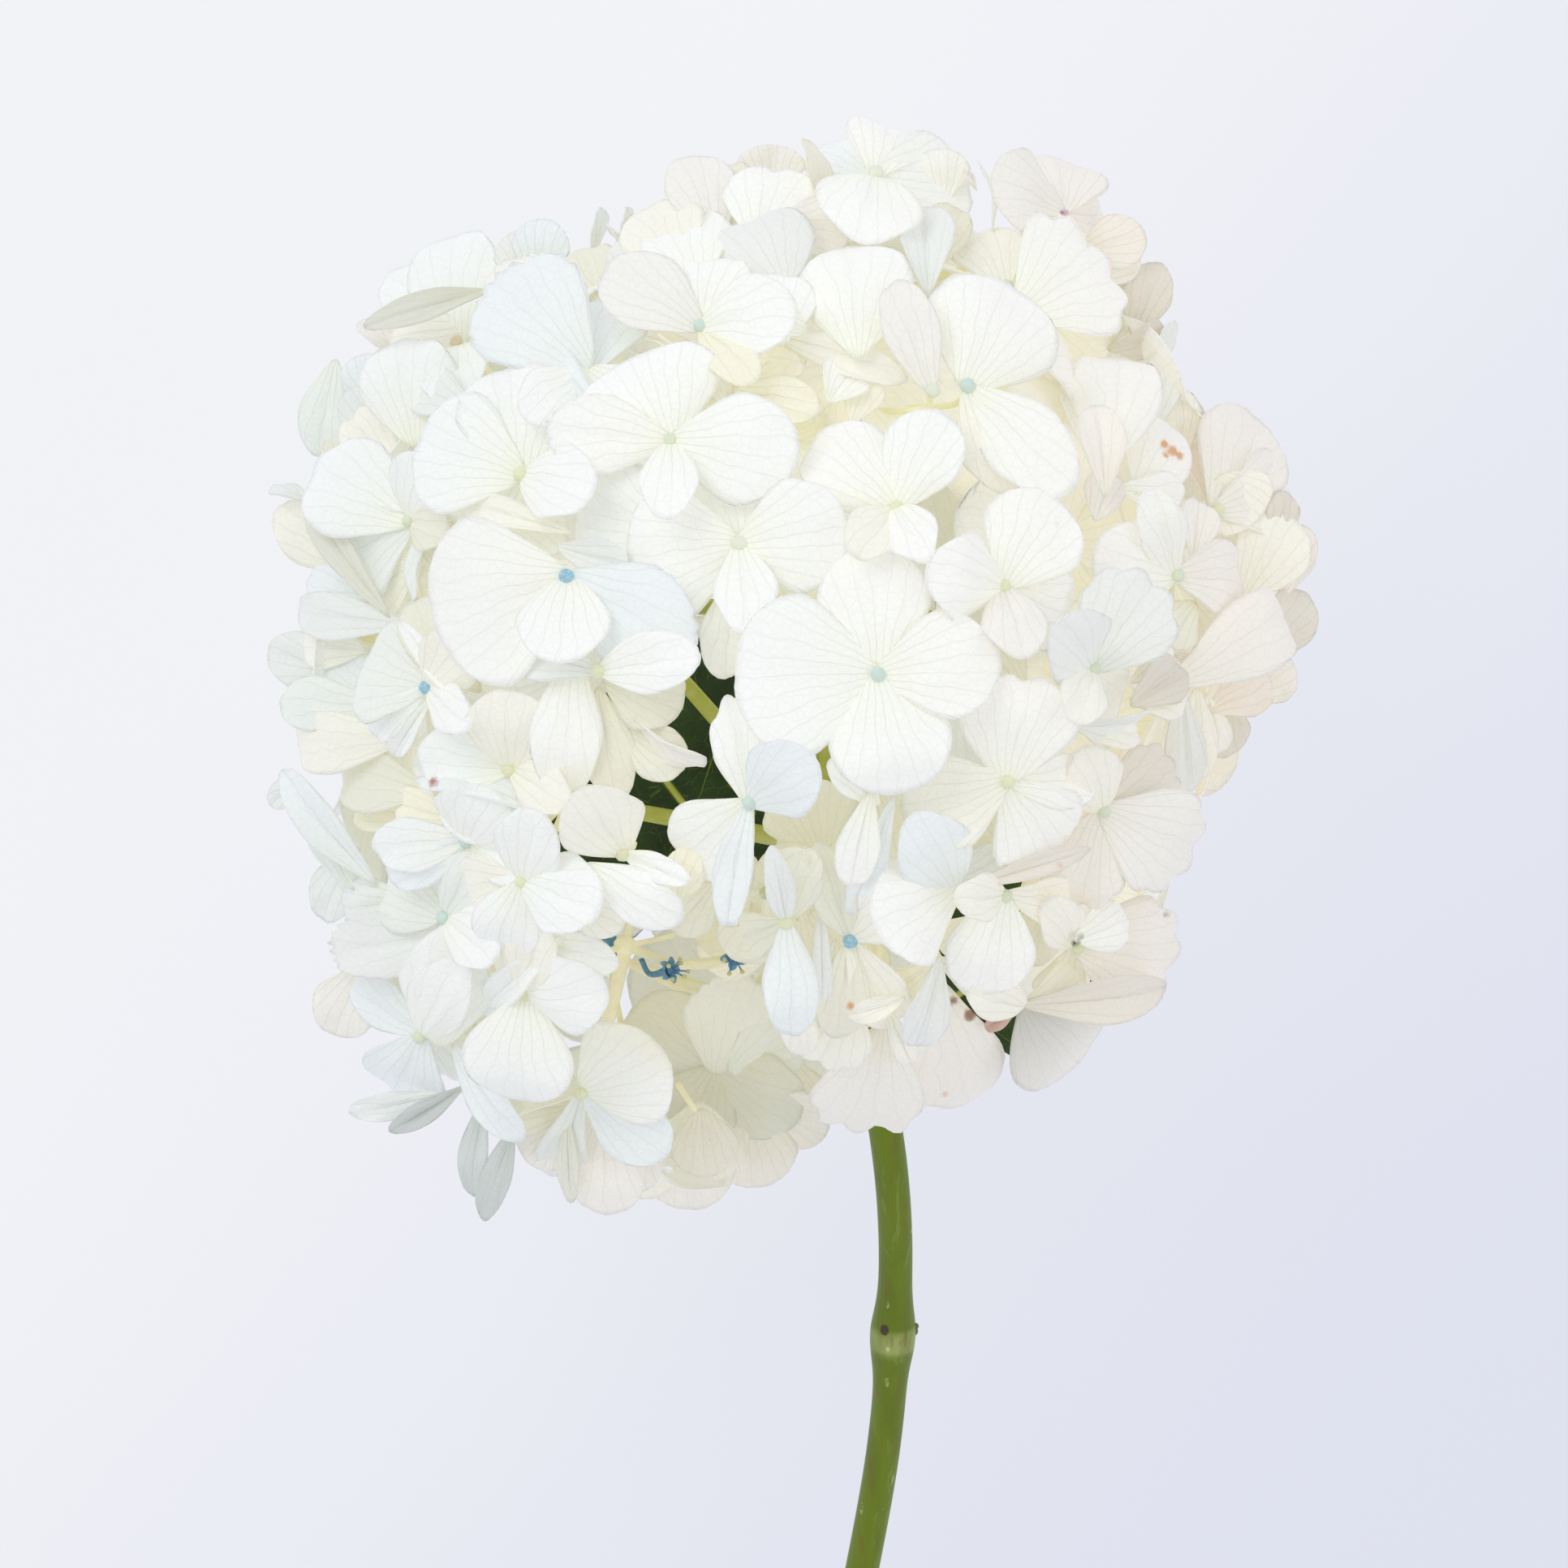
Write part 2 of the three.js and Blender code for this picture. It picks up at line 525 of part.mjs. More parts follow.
function nearestBranch(point) {
  return Object.values(BRANCHES).reduce((best, branch) => (
    branch.at.distanceTo(point) < best.at.distanceTo(point) ? branch : best));
}

function raySolids() {
  const hubEnds = [-HUB_ROOT, 2 * HUB_CROWN]
    .map((along) => HUB.clone().addScaledVector(stemDirection, along));
  const solids = [rod(hubEnds, [HUB_RADIUS, HUB_RADIUS * 0.8], HUB_SIDES)];
  Object.values(BRANCHES).filter((branch) => branch.from).forEach((branch) => {
    const points = [BRANCHES[branch.from].at.clone(), ...(branch.by ?? []), branch.at];
    if (branch.from === 'hub') {
      points[0].addScaledVector(stemDirection, HUB_CROWN);
    } else {
      points[0].addScaledVector(points[1].clone().sub(points[0]).normalize(), KNOT_RADIUS - ROOT_DEPTH);
    }
    const radii = points.map((_, index) => (
      RAY_RADIUS * THREE.MathUtils.lerp(RAY_TAPER.root, RAY_TAPER.end, index / (points.length - 1))));
    solids.push(rod(points, radii, RAY_SIDES));
    solids.push(solidOf(new THREE.IcosahedronGeometry(KNOT_RADIUS, 0).translate(...branch.at.toArray())));
  });
  return solids;
}

// Stem: from the cut end on the table, through the leaf joint that the photograph shows, to the hub
const stemPoints = [
  new THREE.Vector3(CUT_END.x, CUT_END.y, STEM_RADIUS),
  new THREE.Vector3(2, -232, 21),
  seenAt(1087, 1795, 39),
  seenAt(1100, 1645, 46),
  seenAt(1103, 1517, 54),
  seenAt(1091, 1391, 60),
  HUB,
];
const stemCurve = new THREE.CatmullRomCurve3(stemPoints, false, 'centripetal');
const stemDirection = stemCurve.getTangent(1);

// Leaf joints, where the stem swells: one hidden under the head, the one in the photograph, and one below
const HEAD_JOINT_Y = -66;
const JOINT_REACH = 6;
const JOINT_SWELLING = 1.15;
const JOINTS = [HEAD_JOINT_Y, seenAt(1100, 1645, 46).y, -226];

// Leaf pair: both grow from the joint under the head, and stand up between the florets. A stalk starts this
// far past its gap from the stem's side, so that it clears the slanting stem
const LEAVES = {
  leaf_left: { standOff: -0.72, rib: [[-4, -44, 62], [-28, -12, 70], [-50, 20, 76]], halfWidth: 27 },
  leaf_right: { standOff: 0.05, rib: [[36, -56, 63], [50, -45, 67], [64, -34, 71]], halfWidth: 20 },
};
const LEAF_STATIONS = 15;
const LEAF_TOOTH = 0.86;
const LEAF_FOLD = 0.16;
const LEAF_WAVE = 1.4;
const LEAF_NARROWEST = 0.9;
const LEAF_STALK = { places: [0, 0.08, 0.2], taper: [1, 0.85, 0.65], below: -0.6, sides: 6 };
const BLADE_START = 0.12;

function stemRadius(point) {
  return JOINTS.reduce((radius, y) => (
    radius + JOINT_SWELLING * Math.exp(-(((point.y - y) / JOINT_REACH) ** 2))), STEM_RADIUS);
}

function stemSolid() {
  const reach = 1 - (HUB_ROOT + GAP) / stemCurve.getLength();
  const points = [];
  for (let step = 0; step <= STEM_STEPS; step += 1) {
    points.push(stemCurve.getPointAt((step / STEM_STEPS) * reach));
  }
  const stem = rod(points, points.map(stemRadius), STEM_SIDES);
  return stem.translate(0, 0, -stem.boundingBox().min[2]);
}

// Point on the stem's surface, a gap away from it, where a leaf's stalk starts
function leafRoot(standOff) {
  const steps = 400;
  let nearest = stemCurve.getPointAt(0);
  for (let step = 1; step <= steps; step += 1) {
    const point = stemCurve.getPointAt(step / steps);
    if (Math.abs(point.y - HEAD_JOINT_Y) < Math.abs(nearest.y - HEAD_JOINT_Y)) {
      nearest = point;
    }
  }
  nearest.x += Math.sign(standOff) * (stemRadius(nearest) + GAP) + standOff;
  return nearest;
}

// Leaf: a thin blade with toothed edges, folded a little along its rib, on a short stalk
function leafSolid({ standOff, rib, halfWidth }) {
  const points = [leafRoot(standOff), ...rib.map((point) => new THREE.Vector3(...point))];
  const curve = new THREE.CatmullRomCurve3(points);
  const sides = [-1, -0.5, 0, 0.5, 1];
  const upper = [];
  for (let station = 0; station <= LEAF_STATIONS; station += 1) {
    const share = station / LEAF_STATIONS;
    const place = THREE.MathUtils.lerp(BLADE_START, 1, share);
    const middle = curve.getPointAt(place);
    const sideways = new THREE.Vector3(0, 0, 1).cross(curve.getTangentAt(place)).normalize();
    const tooth = station % 2 === 0 ? 1 : LEAF_TOOTH;
    const outline = Math.sin(Math.PI * share ** 0.85) ** 0.8;
    const width = Math.max(halfWidth * outline * tooth, LEAF_NARROWEST);
    sides.forEach((side) => {
      const wave = LEAF_WAVE * Math.sin(share * 9 + side * 2);
      upper.push(middle.clone()
        .addScaledVector(sideways, side * width)
        .add(new THREE.Vector3(0, 0, (LEAF_FOLD * width + wave) * Math.abs(side))));
    });
  }
  const lower = upper.map((point) => point.clone().add(new THREE.Vector3(0, 0, -LEAF_THICKNESS)));
  const count = upper.length;
  const faces = [];
  const wall = (from, to) => {
    faces.push([from, from + count, to], [to, from + count, to + count]);
  };
  const row = sides.length;
  for (let station = 0; station < LEAF_STATIONS; station += 1) {
    const here = station * row;
    for (let strip = 0; strip < row - 1; strip += 1) {
      const a = here + strip;
      const b = here + strip + 1;
      faces.push([a, a + row, b], [b, a + row, b + row]);
      faces.push([count + a, count + b, count + a + row], [count + b, count + b + row, count + a + row]);
    }
    wall(here, here + row);
    wall(here + 2 * row - 1, here + row - 1);
  }
  for (let strip = 0; strip < row - 1; strip += 1) {
    wall(strip + 1, strip);
    wall(LEAF_STATIONS * row + strip, LEAF_STATIONS * row + strip + 1);
  }
  const blade = solidFrom([...upper, ...lower], faces);
  const underRib = new THREE.Vector3(0, 0, LEAF_STALK.below);
  const stalkPoints = LEAF_STALK.places.map((share) => curve.getPointAt(share).add(underRib));
  const stalkRadii = LEAF_STALK.taper.map((share) => LEAF_STALK_RADIUS * share);
  return blade.add(rod(stalkPoints, stalkRadii, LEAF_STALK.sides));
}

// Fertile flowers: five short petals on a cup, on a stalk that starts a gap away from its ray. Each has its
// stalk's root, its bend and the middle of its cup
const FERTILE = {
  fertile_flower_1: [seenAt(790, 1181, 92.3), seenAt(800, 1200, 93), seenAt(822, 1196, 96)],
  fertile_flower_2: [seenAt(900, 1173, 90.3), seenAt(902, 1174, 94), seenAt(904, 1178, 97)],
  fertile_flower_3: [seenAt(766, 1160, 93.9), seenAt(763, 1161, 91.5), seenAt(757, 1164, 90)],
};
const PETAL = { count: 5, reach: 2.6, notch: 1.2, thickness: 0.6 };
const CUP = { radii: [0.5, 0.6, 1.1, 0.8], height: 1.4, sides: 5 };

function fertileSolid([root, bend, cup]) {
  const facing = cup.clone().sub(bend).normalize();
  const outline = new THREE.Shape();
  for (let corner = 0; corner < 2 * PETAL.count; corner += 1) {
    const turn = (corner * Math.PI) / PETAL.count;
    const reach = corner % 2 === 0 ? PETAL.reach : PETAL.notch;
    const [x, y] = [reach * Math.cos(turn), reach * Math.sin(turn)];
    if (corner === 0) {
      outline.moveTo(x, y);
    } else {
      outline.lineTo(x, y);
    }
  }
  const star = new THREE.ExtrudeGeometry(outline, { depth: PETAL.thickness, bevelEnabled: false });
  const turned = new THREE.Quaternion().setFromUnitVectors(new THREE.Vector3(0, 0, 1), facing);
  star.applyQuaternion(turned);
  star.translate(...cup.toArray());
  const rim = cup.clone().addScaledVector(facing, CUP.height);
  return solidOf(star).add(rod([root, bend, cup, rim], CUP.radii, CUP.sides));
}

const seenFlorets = SEEN_FLORETS.map(seenFloret);
const florets = [...seenFlorets, ...hiddenFlorets(seenFlorets)];

function flowerHeadSolid() {
  const pieces = [...florets.map((floret) => floret.solid), ...raySolids()];
  const joined = wasm.Manifold.union(pieces);
  const bodies = joined.decompose();
  return bodies.reduce((largest, body) => (body.volume() > largest.volume() ? body : largest));
}

function material(colour, roughness) {
  return new THREE.MeshStandardMaterial({ color: colour, roughness, metalness: 0 });
}

const flower = new THREE.Group();

function addNode(name, solid, finish) {
  const mesh = new THREE.Mesh(geometryOf(solid), finish);
  mesh.name = name;
  flower.add(mesh);
}

const stemFinish = material(0x6f7a45, 0.6);
const sepalFinish = material(0xf6f6f0, 0.6);
const fertileFinish = material(0x6fa3c4, 0.5);
const leafFinish = material(0x23401b, 0.55);

addNode('stem', stemSolid(), stemFinish);
addNode('flower_head', flowerHeadSolid(), sepalFinish);
Object.entries(FERTILE).forEach(([name, places]) => addNode(name, fertileSolid(places), fertileFinish));
Object.entries(LEAVES).forEach(([name, leaf]) => addNode(name, leafSolid(leaf), leafFinish));

export default flower;
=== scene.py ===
"""White mophead hydrangea, cut and laid on a table, seen from straight above.

Places are in millimetres, +Y from the cut stem to the crown and +Z up from the table. Each piece is brought
to metres when it is finished.
"""
import math
import random

import bmesh
import bpy
from mathutils import Matrix, Vector, noise


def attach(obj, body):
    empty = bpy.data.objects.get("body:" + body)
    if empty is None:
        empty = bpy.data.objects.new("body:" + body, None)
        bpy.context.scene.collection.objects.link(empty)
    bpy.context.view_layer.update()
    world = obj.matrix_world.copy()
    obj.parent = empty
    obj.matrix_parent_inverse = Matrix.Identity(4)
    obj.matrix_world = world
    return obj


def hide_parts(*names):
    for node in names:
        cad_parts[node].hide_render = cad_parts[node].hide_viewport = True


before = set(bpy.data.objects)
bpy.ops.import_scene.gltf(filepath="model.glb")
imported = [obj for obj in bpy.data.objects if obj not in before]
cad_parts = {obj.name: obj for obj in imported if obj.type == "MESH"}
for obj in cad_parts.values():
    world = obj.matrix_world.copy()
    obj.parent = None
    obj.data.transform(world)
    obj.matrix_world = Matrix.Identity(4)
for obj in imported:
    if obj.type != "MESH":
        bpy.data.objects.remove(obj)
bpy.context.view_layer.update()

# Metres in a millimetre
MM = 0.001

# Driving dimensions, the same as the solids'
HEAD_CENTRE_HEIGHT = 74
FLORET_FORM = Vector((84, 88, 76))
SEPAL_LENGTH = {"least": 20, "most": 31}
PEDICEL_DROP = 7
RAY_RADIUS = 1.5
KNOT_RADIUS = 2.1
HUB_RADIUS = 3.6
HUB_ROOT = 3
HUB_CROWN = 3
STEM_RADIUS = 3.2
CUT_END = Vector((-8, -300, STEM_RADIUS))
GAP = 0.3

# Finer than in the solids: thinner sepals and stalks, and florets that stand closer
RULE_SEPAL = {"length": (23, 28), "width": (23, 29)}
SEPAL_THICKNESS = 0.32
PEDICEL_RADIUS = 0.62
FLORET_SPACING = 25

# The photograph is square. It looks straight down, from this far above the middle of the flower head.
PHOTO_WIDTH = 1932
HEAD_COLUMN = 971
HEAD_ROW = 835
MM_PER_PIXEL = 0.15
EYE_DISTANCE = 1200

# As shares: how far out on the form the photographed florets stand, how far they and the widths of their
# sepals face the viewer, and the least that a plane counts as facing up when a tip's height is worked out
FARTHEST_OUT = 0.94
FACING_VIEWER = 0.3
FLAT_TO_VIEWER = 0.65
LEAST_FACING_UP = 0.35

# How far the lower and the upper pair of a floret's sepals stand from its plane, in mm
PAIR_LIFTS = (-0.35, 0.45)

# Florets placed by rule: where turns are measured from, how turns and the tips' rises in mm vary, and the
# turn of the side that stands higher, as shingles do, with its rise as a share of the length
RULE_FLORET = {"turned_from": Vector((0.3, 0.2, 0.93)), "turns": (-0.14, 0.14), "rises": (-4, 0),
               "high_side": 0.6, "shingle": 0.16}

# Florets that the photograph hides: places spread over the whole head, the level that they keep below, how
# deep they stand in turn, and how much deeper behind the photographed ones
HIDDEN = {"places": 190, "first_turn": 0.9, "below_level": 0.3, "depths": (0, -5, 2, -3), "behind_seen": 9}

# The way that the hidden florets leave free for the stem, and how the ones underneath are pressed flat:
# below this height, down to the table, and turned so far towards it
STEM_OPENING = {"below": -0.78, "middle": 0.2, "half": 0.42}
PRESSED = {"below": 20, "rest": 1.5, "facing_down": 0.7}

# Florets of the lower layer, which close the gaps between those in front
LOWER_LAYER = {"places": 150, "first_turn": 0.3, "above_level": 0.18, "depth": -12, "spacing": 17}

# Steps in mm by which a floret that would stand past the outline is drawn in
DRAWN_IN = (0, -4, -8, -12, -16)

# Open places in the photograph, as column, row and radius in pixels, which no lower floret covers: the leaf
# shows in the first. Some are seen right through, so no hidden floret fills them. All have room to spare
OPEN_PLACES = [(800, 925, 150), (830, 1190, 175), (1226, 1256, 100), (1000, 1320, 60)]
SEEN_THROUGH = [(815, 1170, 70), (1226, 1256, 100)]
OPENING_SPARE = 60

# Outline of the flower head in the photograph, as column and row. Florets placed by rule keep inside it
HEAD_OUTLINE = [
    (820, 215), (830, 195), (860, 188), (900, 197), (925, 182), (955, 178), (985, 190),
    (990, 168), (1020, 176), (1050, 164), (1090, 163), (1120, 198), (1150, 184), (1180, 203),
    (1240, 210), (1300, 203), (1325, 215), (1360, 265), (1395, 275), (1413, 300), (1437, 327),
    (1415, 395), (1450, 397), (1445, 440), (1450, 475), (1485, 515), (1545, 510), (1580, 535),
    (1588, 600), (1612, 660), (1600, 715), (1615, 750), (1600, 820), (1575, 860), (1530, 885),
    (1505, 935), (1462, 978), (1430, 965), (1430, 985), (1472, 1050), (1440, 1097), (1392, 1105),
    (1435, 1120), (1455, 1170), (1440, 1225), (1400, 1245), (1380, 1290), (1330, 1322), (1270, 1330),
    (1238, 1312), (1200, 1350), (1150, 1368), (1110, 1370), (1075, 1397), (1020, 1385), (1000, 1410),
    (960, 1440), (955, 1460), (900, 1460), (870, 1492), (820, 1485), (795, 1465), (750, 1498),
    (715, 1480), (690, 1445), (645, 1425), (605, 1500), (585, 1502), (578, 1440), (575, 1370),
    (550, 1345), (485, 1398), (480, 1370), (430, 1372), (490, 1340), (455, 1290), (440, 1270),
    (410, 1278), (385, 1235), (400, 1195), (402, 1165), (415, 1140), (385, 1110), (390, 1050),
    (375, 1005), (345, 955), (400, 945), (365, 910), (345, 860), (330, 800), (375, 785),
    (363, 748), (378, 712), (395, 700), (350, 675), (335, 625), (332, 603), (375, 600),
    (395, 562), (370, 520), (390, 455), (450, 437), (475, 385), (480, 345), (525, 313),
    (560, 287), (615, 300), (640, 283), (670, 270), (690, 300), (728, 308), (780, 285),
    (820, 250),
]

luck = random.Random(318)


def smooth(low, high, value):
    """Soft step from 0 at low to 1 at high."""
    share = min(max((value - low) / (high - low), 0.0), 1.0)
    return share * share * (3 - 2 * share)


def mix(one, other, share):
    """Between two numbers, places or colours."""
    if isinstance(one, (tuple, list, Vector)):
        return type(one)([a + (b - a) * share for a, b in zip(one, other)])
    return one + (other - one) * share


def shade(red, green, blue):
    """Colour as seen on a screen, from 0 to 255, as the linear light that materials work with."""
    def linear(value):
        value /= 255
        return value / 12.92 if value <= 0.04045 else ((value + 0.055) / 1.055) ** 2.4
    return (linear(red), linear(green), linear(blue))


# Places and facings on the head

def seen_at(column, row, height):
    """Place of a photographed point, once its height above the table is known."""
    spread = (HEAD_CENTRE_HEIGHT + EYE_DISTANCE - height) / EYE_DISTANCE
    middle = PHOTO_WIDTH / 2
    x = (middle - HEAD_COLUMN + (column - middle) * spread) * MM_PER_PIXEL
    y = (HEAD_ROW - middle + (middle - row) * spread) * MM_PER_PIXEL
    return Vector((x, y, height))


def pixel_of(place):
    """Column and row at which the photograph would show a place."""
    spread = (HEAD_CENTRE_HEIGHT + EYE_DISTANCE - place.z) / EYE_DISTANCE
    middle = PHOTO_WIDTH / 2
    column = middle + (place.x / MM_PER_PIXEL - middle + HEAD_COLUMN) / spread
    row = middle - (place.y / MM_PER_PIXEL - HEAD_ROW + middle) / spread
    return column, row


def form_height(x, y):
    """Height of the front of the ellipsoid that the florets' centres lie on."""
    reach = min((x / FLORET_FORM.x) ** 2 + (y / FLORET_FORM.y) ** 2, FARTHEST_OUT)
    return HEAD_CENTRE_HEIGHT + FLORET_FORM.z * math.sqrt(1 - reach)


def on_form(direction):
    """Place on the whole ellipsoid, in a direction from its middle."""
    place = Vector([part * reach for part, reach in zip(direction, FLORET_FORM)])
    place.z += HEAD_CENTRE_HEIGHT
    return place


def form_normal(place, facing):
    """Direction out of that ellipsoid, leant towards the viewer by a share from 0 to 1."""
    outward = Vector((
        place.x / FLORET_FORM.x ** 2,
        place.y / FLORET_FORM.y ** 2,
        (place.z - HEAD_CENTRE_HEIGHT) / FLORET_FORM.z ** 2,
    )).normalized()
    return outward.lerp(Vector((0, 0, 1)), facing).normalized()


def form_share(place):
    """How far out a place is: 1 on the ellipsoid, 0 in its middle."""
    return Vector((
        place.x / FLORET_FORM.x,
        place.y / FLORET_FORM.y,
        (place.z - HEAD_CENTRE_HEIGHT) / FLORET_FORM.z,
    )).length


def spread_direction(index, total, first_turn):
    """One of a number of directions spread evenly over a ball."""
    level = 1 - (2 * index + 1) / total
    turn = index * math.pi * (3 - math.sqrt(5)) + first_turn
    around = math.sqrt(1 - level ** 2)
    return Vector((around * math.cos(turn), around * math.sin(turn), level))


# Branches inside the head: where each ends, the branch it leaves and the points that it passes
HUB = Vector((8, -34, 74))
BRANCHES = {
    "hub": (HUB, None, []),
    "left_gap": (seen_at(818, 812, 104), "hub", []),
    "left": (seen_at(700, 985, 96), "hub", []),
    "lower_left": (seen_at(770, 1165, 96), "hub", [seen_at(938, 1165, 86), seen_at(840, 1188, 92)]),
    "upper_left": (Vector((-44, 46, 98)), "left_gap", []),
    "upper_middle": (Vector((-8, 48, 112)), "middle", []),
    "middle": (Vector((6, 8, 112)), "hub", []),
    "top": (Vector((18, 70, 84)), "middle", []),
    "right": (Vector((44, 6, 110)), "hub", [Vector((26, -16, 98))]),
    "upper_right": (Vector((52, 42, 92)), "right", []),
    "far_right": (Vector((68, 8, 84)), "right", []),
    "lower_right": (Vector((44, -36, 98)), "hub", []),
    "lower_middle": (Vector((12, -48, 106)), "hub", []),
    "back": (Vector((18, 14, 48)), "hub", [Vector((18, -2, 66))]),
    "back_left": (Vector((-30, 14, 40)), "back", []),
    "back_right": (Vector((54, 4, 38)), "back", []),
    "back_top": (Vector((12, 56, 44)), "back", []),
    "back_low": (Vector((14, -14, 30)), "back", []),
    "under_left": (Vector((-34, -52, 44)), "back_low", [Vector((-8, -60, 34))]),
    "under_right": (Vector((50, -44, 42)), "back_low", []),
}

